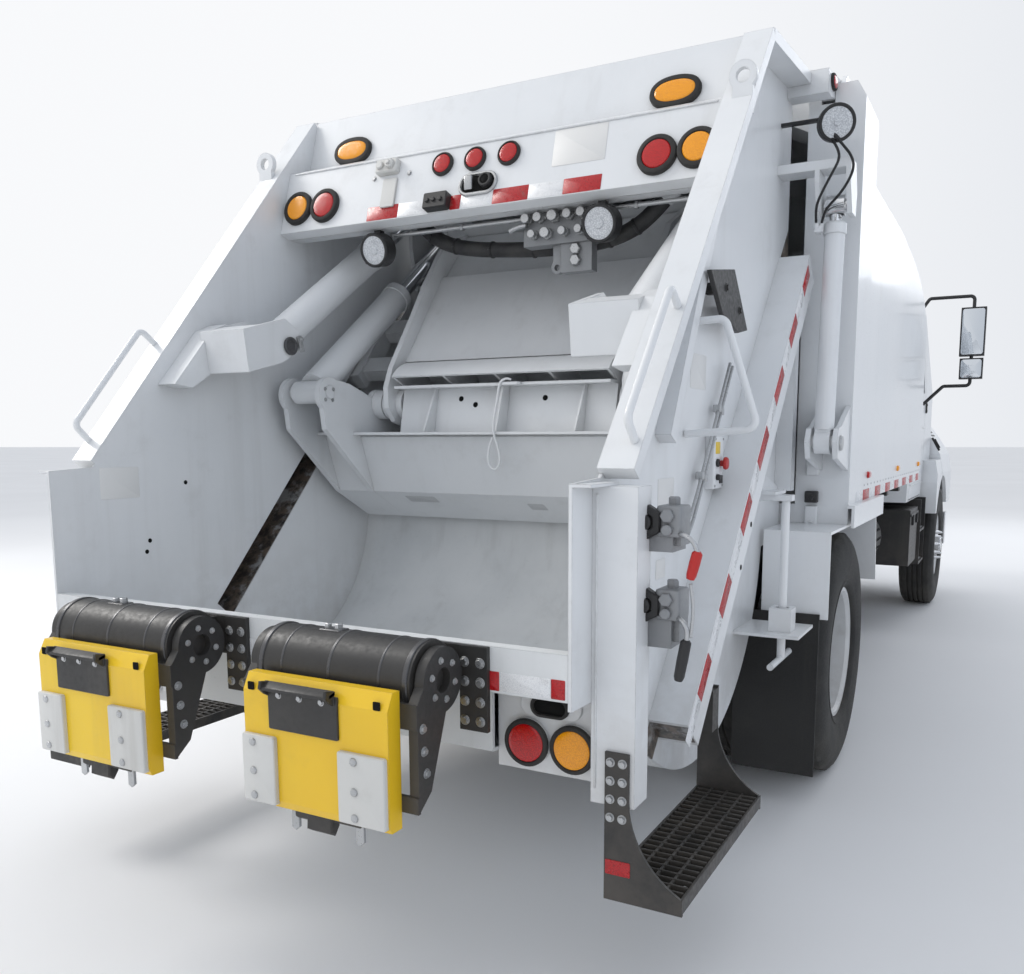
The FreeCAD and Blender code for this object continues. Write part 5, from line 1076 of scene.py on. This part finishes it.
for s, side in ((1, "left"), (-1, "right")):
    door = side + "_door"
    n = Vector((s, 0, 0))

    def dp(y, z, off=0.0):
        h = land(T(s * 1.6, y, z), -n, door, side + "_door_glass", "cab_shell")
        return (h[0] if h else T(s * 1.09, y, z)) + n * off
    S = Shape()
    # window seal
    ring = []
    corners = [(-3.960, 1.832), (-3.272, 1.832), (-3.272, 2.438), (-3.838, 2.438), (-3.958, 2.200)]
    for i, (a, b) in enumerate(corners):
        y2, z2 = corners[(i + 1) % 5]
        for q in range(6):
            yy, zz = a + (y2 - a) * q / 6, b + (z2 - b) * q / 6
            cy_, cz_ = -3.6, 2.13
            oy, oz = yy + (.014 if yy > cy_ else -.014), zz + (.014 if zz > cz_ else -.014)
            h = land(T(s * 1.6, oy, oz), -n, door)
            ring.append(h[0] if h else T(s * 1.09, oy, oz))
    bead(S, ring, .008)
    S.make(side + "_window_seal", RUBBER, door, "black_rubber")
    # door handle: recess and pull
    S = Shape()
    c = dp(-3.275, 1.700)
    S.outline(c, n, UP, lambda i: rrect(.150, .070, .020, i, 6), [(0, -.002), (0, .004), (.003, .006), (.012, .006), (.016, .001)])
    S.outline(c + n * .001, n, UP, lambda i: rrect(.120, .030, .010, i, 5), [(0, 0), (0, .014), (.003, .018)])
    S.lathe(dp(-3.245, 1.655), n, [(.010, 0), (.010, .005), (.008, .006)], 20)
    S.make(side + "_door_handle", BLACKPL, door, "black_plastic")
    # rub line pressed in the door: a thin raised moulding
    S = Shape()
    pts = [dp(y, 1.560, .002) for y in (-4.02, -3.8, -3.6, -3.4, -3.215)]
    S.pipe(pts, .007, 10)
    pts = [dp(y, 1.120, .002) for y in (-4.02, -3.8, -3.6, -3.4, -3.215)]
    S.pipe(pts, .006, 10)
    S.make(side + "_door_moulding", WHITE, door, "white_paint")
    # mirror glasses face the driver and the rear
    S, F = Shape(), Shape()
    lo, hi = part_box(side + "_mirrors")
    x0, x1 = 1.353, 1.530
    S.outline(Vector((s * 1.4415, -3.786 + DY, 2.2885)), REAR, UP, lambda i: rrect(.157, .345, .018, i, 6), [(0, -.001), (0, .0015), (.002, .0022)])
    S.outline(Vector((s * 1.443, -3.790 + DY, 2.009)), REAR, UP, lambda i: rrect(.146, .138, .018, i, 6), [(0, -.001), (0, .002), (.020, .006), (.050, .0085)])
    for cx, cz, w_, h_, yy in ((1.4415, 2.2885, .177, .367, -3.786), (1.443, 2.009, .166, .158, -3.790)):
        F.outline(Vector((s * cx, yy + DY, cz)), REAR, UP, lambda i, w_=w_, h_=h_: rrect(w_, h_, .022, i, 6), [(0, -.004), (0, .003), (.003, .005), (.008, .005), (.010, .001)])
        F.outline(Vector((s * cx, (-3.862 if cz > 2.1 else -3.855) + DY, cz)), -REAR, UP, lambda i, w_=w_, h_=h_: rrect(w_, h_, .026, i, 6),
                  [(0, -.010), (.002, .002), (.012, .008), (.035, .012)])
    S.make(side + "_mirror_glass", MIRROR, side + "_door", "chrome_rod")
    F.make(side + "_mirror_frames", BLACKPL, side + "_door", "black_plastic")
    # grab handle behind the door, side vent
    hnd.pipe([T(s * 1.075, -3.150, 1.42), T(s * 1.128, -3.150, 1.42), T(s * 1.128, -3.150, 1.46), T(s * 1.128, -3.150, 2.02), T(s * 1.128, -3.150, 2.06), T(s * 1.072, -3.150, 2.06)], .012, 14, smooth=2)
    vent.outline(onto(T(s * 1.11, -3.118, 1.66), n, "cab_shell"), n, UP, lambda i: rrect(.060, .180, .010, i), [(0, -.002), (0, .005), (.003, .007), (.008, .007), (.010, .002)])
    for k in range(7):
        q = onto(T(s * 1.11, -3.118, 1.595 + k * .0215), n, "cab_shell")
        vent.outline(q + n * .002, n, UP, lambda i: rrect(.044, .010, .003, i), [(0, 0), (0, .004), (.001, .005)])
seal_pts = []
hnd.make("cab_grab_rails", ALU, "truck", "bright_aluminium")
vent.make("cab_side_vents", BLACKPL, "truck", "black_plastic")
# windscreen seal, wipers and sun visor lamps on the roof
S = Shape()
ws_ = []
cor = [(-.930, 1.962), (.930, 1.962), (.900, 2.528), (-.900, 2.528)]
for i, (a, b) in enumerate(cor):
    x2, z2 = cor[(i + 1) % 4]
    for q in range(10):
        xx, zz = a + (x2 - a) * q / 10, b + (z2 - b) * q / 10
        ox, oz = xx * 1.016, zz + (.014 if zz > 2.2 else -.014)
        h = land(T(ox, -5.2, oz), (0, 1, 0), "cab_shell")
        ws_.append(h[0] if h else T(ox, -4.5, oz))
bead(S, ws_, .009)
for s in (1, -1):
    pts = []
    for xx, zz in ((.12, 1.985), (.30, 2.06), (.52, 2.16), (.74, 2.27)):
        h = land(T(s * xx - .06, -5.2, zz), (0, 1, 0), "cab_shell", "cab_glass")
        pts.append((h[0] if h else T(s * xx, -4.5, zz)) + Vector((0, -.014, 0)))
    S.pipe(pts, .006, 10)
    S.lathe(pts[0] + Vector((0, .016, 0)), (0, -1, 0), [(.018, 0), (.018, .018), (.012, .024), (0, .025)], 16)
S.make("windscreen_seal_and_wipers", RUBBER, "truck", "black_rubber")
mk, mkb = Shape(), Shape()
for x in (-.62, -.18, 0, .18, .62):
    h = land(T(x, -4.02, 3.2), (0, 0, -1), "cab_shell")
    if h:
        mkb.outline(h[0], h[1], (0, -1, 0), lambda i: rrect(.110, .050, .020, i, 6), [(0, -.004), (0, .004), (.002, .006)])
        mk.outline(h[0], h[1], (0, -1, 0), lambda i: rrect(.096, .038, .018, i, 6), [(0, .004), (.001, .014), (.006, .020), (.014, .022)])
mk.make("roof_marker_lenses", LAMB, "truck", "clear_glass")
mkb.make("roof_marker_bases", BLACKPL, "truck", "black_plastic")
# front of the hood: headlamps, turn lamps, grille mesh, chrome bars; all tip with the hood
F = Vector((0, -1, 0))
hl, hb, ha, hc, gm = Shape(), Shape(), Shape(), Shape(), Shape()
for s in (1, -1):
    c = onto(T(s * .925, -5.690, 1.060), F, "hood")
    hb.outline(c, F, UP, lambda i: rrect(.400, .240, .050, i, 8), [(0, -.004), (0, .004), (.004, .008), (.016, .008), (.022, .001)])
    hl.outline(c, F, UP, lambda i: rrect(.356, .196, .040, i, 8), [(0, 0), (.001, .006), (.010, .010), (.030, .0125)])
    for dx in (-.080, .080):
        hb.lathe(c + Vector((s * dx, -.008, 0)), F, [(.072, 0), (.072, .003), (.068, .0045), (.063, .0045), (.061, .001)], 36)
        hl.lathe(c + Vector((s * dx, -.009, 0)), F, [(.060, 0), (.050, .004), (.030, .006), (0, .007)], 36)
    ha.outline(onto(T(s * 1.150, -5.690, 1.060), F, "hood"), F, UP, lambda i: rrect(.040, .180, .016, i, 6), [(0, -.001), (0, .005), (.003, .008), (.010, .010)])
# grille: fine mesh behind the bars, bright surround
for k in range(25):
    x = -.588 + k * .049
    gm.block(T(x - .003, -5.662, .935), T(x + .003, -5.657, 1.378), .001)
for k in range(14):
    z = .950 + k * .032
    gm.block(T(-.598, -5.664, z - .003), T(.598, -5.659, z + .003), .001)
for z in [.950 + k * .070 for k in range(7)]:
    hc.outline(T(0, -5.685, z), F, UP, lambda i: rrect(1.186, .020, .006, i), [(0, -.004), (0, .003), (.003, .006)])
for x in (-.612, .612):
    hc.outline(T(x, -5.686, 1.155), F, UP, lambda i: rrect(.022, .470, .008, i), [(0, -.003), (0, .002), (.003, .0045)])
hc.outline(T(0, -5.686, 1.396), F, UP, lambda i: rrect(1.246, .022, .008, i), [(0, -.003), (0, .002), (.003, .0045)])
hl.make("headlamp_lenses", LCLR, "hood", "clear_glass")
hb.make("headlamp_surrounds", BLACKPL, "hood", "black_plastic")
ha.make("front_turn_lenses", LAMB, "hood", "clear_glass")
hc.make("grille_bars", ALU, "hood", "bright_aluminium")
gm.make("grille_mesh", BLACKPL, "hood", "black_plastic")
# hood latches and side vents
hv, hlt = Shape(), Shape()
for s in (1, -1):
    n = Vector((s, 0, 0))
    h = land(T(s * 1.6, -4.715, 1.42), -n, "hood")
    if h:
        hlt.outline(h[0], h[1], UP, lambda i: rrect(.045, .130, .012, i, 5), [(0, -.003), (0, .010), (.004, .016)])
        hlt.outline(h[0] + h[1] * .014, h[1], UP, lambda i: rrect(.022, .090, .008, i, 5), [(0, 0), (0, .010), (.003, .013)])
    for k in range(6):
        h = land(T(s * 1.6, -5.020, 1.500 + k * .030), -n, "hood")
        if h:
            hv.outline(h[0], h[1], UP, lambda i: rrect(.260, .016, .007, i, 4), [(0, -.002), (0, .002), (.002, .004), (.005, .004)])
hv.make("hood_side_louvres", BLACKPL, "hood", "black_plastic")
hlt.make("hood_latches", RUBBER, "hood", "black_rubber")
# bumper: fog lamps, bolts, number plate blank
bpn, bpl = Shape(), Shape()
for s in (1, -1):
    c = onto(T(s * .860, -5.740, .610), F, "front_bumper")
    bpn.lathe(c, F, [(.072, -.001), (.072, .004), (.068, .007), (.058, .007), (.056, .001)], 36)
    bpl.lathe(c, F, [(.057, 0), (.055, .004), (.035, .008), (0, .0095)], 36)
bpn.outline(onto(T(0, -5.740, .610), F, "front_bumper"), F, UP, lambda i: rrect(.330, .170, .012, i), [(0, -.001), (0, .003), (.002, .004)])
for x in (-.70, -.45, .45, .70):
    bpn.bolt(onto(T(x, -5.740, .705), F, "front_bumper"), F, .012, .006)
bpn.make("bumper_fittings", BLACKPL, "truck", "black_plastic")
bpl.make("fog_lamp_lenses", LCLR, "truck", "clear_glass")

# ---------------------------------------------------------------- tanks, steps, chassis
ch, stp, tk = Shape(), Shape(), Shape()
for s in (1, -1):
    for z0 in (.490, .750):
        for k in range(9):
            y = -4.018 + k * .038
            stp.block(T(s * .985 - .150, y, z0 - .001), T(s * .985 + .150, y + .012, z0 + .004), .001)
    # bolts along the chassis rails
    for k in range(16):
        y = -4.40 + k * .26
        for z in (.86, .93):
            h = land(T(s * .70, y, z), (-s, 0, 0), "chassis_frame", reach=.5)
            if h and abs(h[0].x) > .38:
                ch.bolt(h[0], Vector((s, 0, 0)), .011, .008)
tk.lathe(T(.690, -3.955, .760), F, [(.225, -.006), (.215, .002), (.150, .012), (.060, .016), (0, .017)], 48)
tk.lathe(T(.690, -2.945, .760), REAR, [(.225, -.006), (.215, .002), (.150, .012), (.060, .016), (0, .017)], 48)
h = land(T(.78, -3.48, 1.4), (0, 0, -1), "fuel_tank")
if h:
    tk.lathe(h[0] - h[1] * .004, h[1], [(.048, 0), (.048, .020), (.056, .022), (.056, .040), (.050, .046), (.020, .048), (0, .048)], 28)
stp.make("cab_step_treads", ALU, "truck", "bright_aluminium")
ch.make("chassis_bolts", STEEL, "truck", "bright_aluminium")
tk.make("fuel_tank_ends", ALU, "truck", "bright_aluminium")
# slots in the exhaust heat shield drawn as near-black patches: painted shade
ex = Shape()
for k in range(12):
    for a in range(-3, 4):
        t = math.radians(a * 19)
        n = Vector((-math.cos(t), 0, math.sin(t)))
        p = T(-.790, -2.690 + k * .068, .770) + n * .190
        ex.outline(p, n, (0, 1, 0), lambda i: rrect(.020, .046, .010, i, 4), [(0, -.001), (0, .0012), (.001, .002)])
ex.make("exhaust_shield_slot_shades", SHADOW, "truck", "black_plastic")
# battery box lid edge and handles
bx = Shape()
bx.outline(T(-1.130, -3.385, .900), (-1, 0, 0), UP, lambda i: rrect(.500, .020, .006, i), [(0, -.002), (0, .006), (.002, .008)])
for y in (-3.52, -3.25):
    bx.outline(T(-1.130, y, .860), (-1, 0, 0), UP, lambda i: rrect(.030, .080, .008, i), [(0, -.002), (0, .012), (.003, .016)])
bx.make("battery_box_trim", BLACKPL, "truck", "black_plastic")
# side marker lamps on the body
bl_, br_ = Shape(), Shape()
for s in (1, -1):
    for y, z, L in ((-2.52, 1.30, bl_), (-.30, 1.30, br_), (-1.40, 1.30, bl_)):
        h = land(T(s * 1.7, y, z), (-s, 0, 0), "body_shell")
        if h:
            L.outline(h[0], h[1], UP, lambda i: rrect(.070, .030, .014, i, 6), [(0, -.001), (0, .007), (.004, .011), (.009, .012)])
bl_.make("body_amber_markers", LAMB, "truck", "clear_glass")
br_.make("body_red_markers", LRED, "truck", "clear_glass")

# ---------------------------------------------------------------- bands round the hose bundle, pin ends, weld beads, cab trim
def on_line(pts, f):
    """Point at a share f of the parameter of a clamped quadratic NURBS with equal weights."""
    n = len(pts)
    k = [0, 0] + list(range(n - 1)) + [n - 2, n - 2]
    u = min(max(f, 0), .99999) * (n - 2)
    i = int(u) + 2
    q = [Vector(pts[i - 2 + j]) for j in range(3)]
    for r in (1, 2):
        for j in range(2, r - 1, -1):
            lo, hi = k[i - 2 + j], k[i + j - r + 1]
            t = (u - lo) / (hi - lo)
            q[j] = q[j - 1].lerp(q[j], t)
    return q[2]


bands = Shape()
for f in (.10, .22, .36, .50, .64, .78, .90):
    c = on_line(BUNDLE, f)
    t = (on_line(BUNDLE, f + .01) - on_line(BUNDLE, f - .01)).normalized()
    bands.lathe(c - t * .006, t, [(.0285, 0), (.0312, .001), (.0320, .003), (.0320, .009), (.0312, .011), (.0285, .012)], 32, up=(0, 1, 0))
    u, v, _ = axes(t, (0, 1, 0))
    bands.block(c + v * .030 - Vector((.006, .004, .005)), c + v * .030 + Vector((.006, .006, .005)), .0015)
hb_ = bands.make("hose_bundle_bands", BLACKPL, "tailgate", "black_plastic")
J = {j["name"]: j for j in frame["joints"]}
pe, pb = Shape(), Shape()
for jn, node, x0 in (("slide_cylinder_tilt", "hopper_left_side", .30), ("slide_cylinder_tilt", "hopper_right_side", -.30)):
    q = Vector(J[jn]["pos_m"])
    s = 1 if x0 > 0 else -1
    h = land(Vector((x0, q.y, q.z)), (s, 0, 0), node)
    if h and abs(h[0].x) < .75:
        pe.lathe(h[0], (-s, 0, 0), [(.034, -.001), (.034, .005), (.031, .008), (.020, .009), (.018, .005), (0, .005)], 30)
        pb.plate(h[0] + Vector((0, -.052, .012)), (-s, 0, 0), (0, .3, 1), .024, .062, .006, .004, .001)
        pb.bolt(h[0] + Vector((-s * .006, -.056, .030)), (-s, 0, 0), .007, .005)
        pb.bolt(h[0] + Vector((-s * .006, -.050, -.008)), (-s, 0, 0), .007, .005)
pe.make("slide_pin_ends", DRUM, "tailgate", "black_paint")
if pb.bm.faces:
    pb.make("slide_pin_keepers", STEEL, "tailgate", "bright_aluminium")
# pin ends of the blade hinge
bh = Shape()
q = Vector(J["blade_sweep"]["pos_m"])
for s in (1, -1):
    h = land(Vector((s * .10, q.y, q.z)), (s, 0, 0), "packer_carriage", "sweep_blade", reach=1.0)
    if h:
        bh.lathe(Vector((h[0].x, q.y, q.z)), (-s, 0, 0), [(.050, -.001), (.050, .006), (.046, .010), (.020, .011), (.018, .007), (0, .007)], 36)
bh.make("blade_hinge_caps", HOPWHITE, "blade", "white_paint")
# weld beads along the header and down the rear posts
wd = Shape()
wd.pipe([low_face(x, 2.546) + NL * .001 for x in (-.90, -.45, 0, .45, .90)], .004, 8)
for s in (1, -1):
    wd.pipe([onto(T(s * .955, 2.240 - .085, z), REAR, "hopper_left_side" if s > 0 else "hopper_right_side") for z in (.60, .80, 1.0, 1.2, 1.33)], .0035, 8)
wd.make("weld_beads", HOPWHITE, "tailgate", "white_paint")
# cab: drip rails over the doors and door hinge leaves
dr, dh = Shape(), Shape()
for s, side in ((1, "left"), (-1, "right")):
    pts = []
    for y in (-3.90, -3.70, -3.50, -3.30, -3.14):
        h = land(T(s * 1.6, y, 2.588), (-s, 0, 0), "cab_shell")
        if h:
            pts.append(h[0] + Vector((s * .002, 0, 0)))
    if len(pts) > 2:
        dr.pipe(pts, .009, 10)
    for z in (1.25, 1.72):
        h = land(T(s * 1.6, -4.085, z), (-s, 0, 0), "cab_shell")
        if h:
            dh.outline(h[0], (s, 0, 0), UP, lambda i: rrect(.040, .085, .008, i), [(0, -.002), (0, .008), (.003, .012)])
            dh.bolt(h[0] + Vector((s * .011, 0, .024)), (s, 0, 0), .007, .004)
            dh.bolt(h[0] + Vector((s * .011, 0, -.024)), (s, 0, 0), .007, .004)
dr.make("cab_drip_rails", WHITE, "truck", "white_paint")
dh.make("door_hinge_leaves", BLACK, "truck", "black_paint")
# rivets over the body tape
rv = Shape()
for s in (1, -1):
    for k in range(24):
        h = land(T(s * 1.8, -.20 - k * .104, 1.256), (-s, 0, 0), "body_shell")
        if h:
            rv.lathe(h[0], h[1], [(.005, -.0005), (.005, .0008), (.0035, .002), (0, .0025)], 10)
rv.make("body_rivets", STEEL, "truck", "bright_aluminium")


# ---------------------------------------------------------------- floor and light
bm = bmesh.new()
R = 400.0
bm.faces.new([bm.verts.new(p) for p in ((-R, -R, -.001), (R, -R, -.001), (R, R, -.001), (-R, R, -.001))])
me = bpy.data.meshes.new("floor")
bm.to_mesh(me)
bm.free()
floor = bpy.data.objects.new("floor", me)
COL.objects.link(floor)
me.materials.append(surface("pale_floor", (.86, .865, .875), (.83, .835, .845), (.9, 1.0), big=.25, fine=30, bump=.02, bevel=0, spec=.05))

w = bpy.data.worlds.new("studio")
w.use_nodes = True
wt = w.node_tree
wc = wt.nodes.new('ShaderNodeTexCoord')
ws = wt.nodes.new('ShaderNodeSeparateXYZ')
wt.links.new(wc.outputs['Generated'], ws.inputs[0])
wt.links.new(mix(wt, ramp(wt, ws.outputs[0], -.9, .55), (.56, .61, .69), (.97, .98, 1.0)), wt.nodes['Background'].inputs[0])
wt.nodes['Background'].inputs[1].default_value = .97
SC.world = w


def area(name, at, to, size, power, col):
    l = bpy.data.lights.new(name, 'AREA')
    l.shape = 'DISK'
    l.size = size
    l.energy = power
    l.color = col
    o = bpy.data.objects.new(name, l)
    o.location = at
    o.rotation_euler = (Vector(to) - Vector(at)).to_track_quat('-Z', 'Y').to_euler()
    COL.objects.link(o)


area("key", (9.0, 4.6, 9.0), (0, 1.8, 1.2), 5.0, 620, (1.0, .975, .94))
area("fill", (-9.0, 6.0, 5.0), (-.6, 1.0, 1.2), 7.0, 60, (.88, .93, 1.0))
area("front", (-3.0, -11.0, 7.0), (0, -2.5, 1.4), 6.0, 160, (.95, .97, 1.0))
SC.view_settings.view_transform = 'Standard'
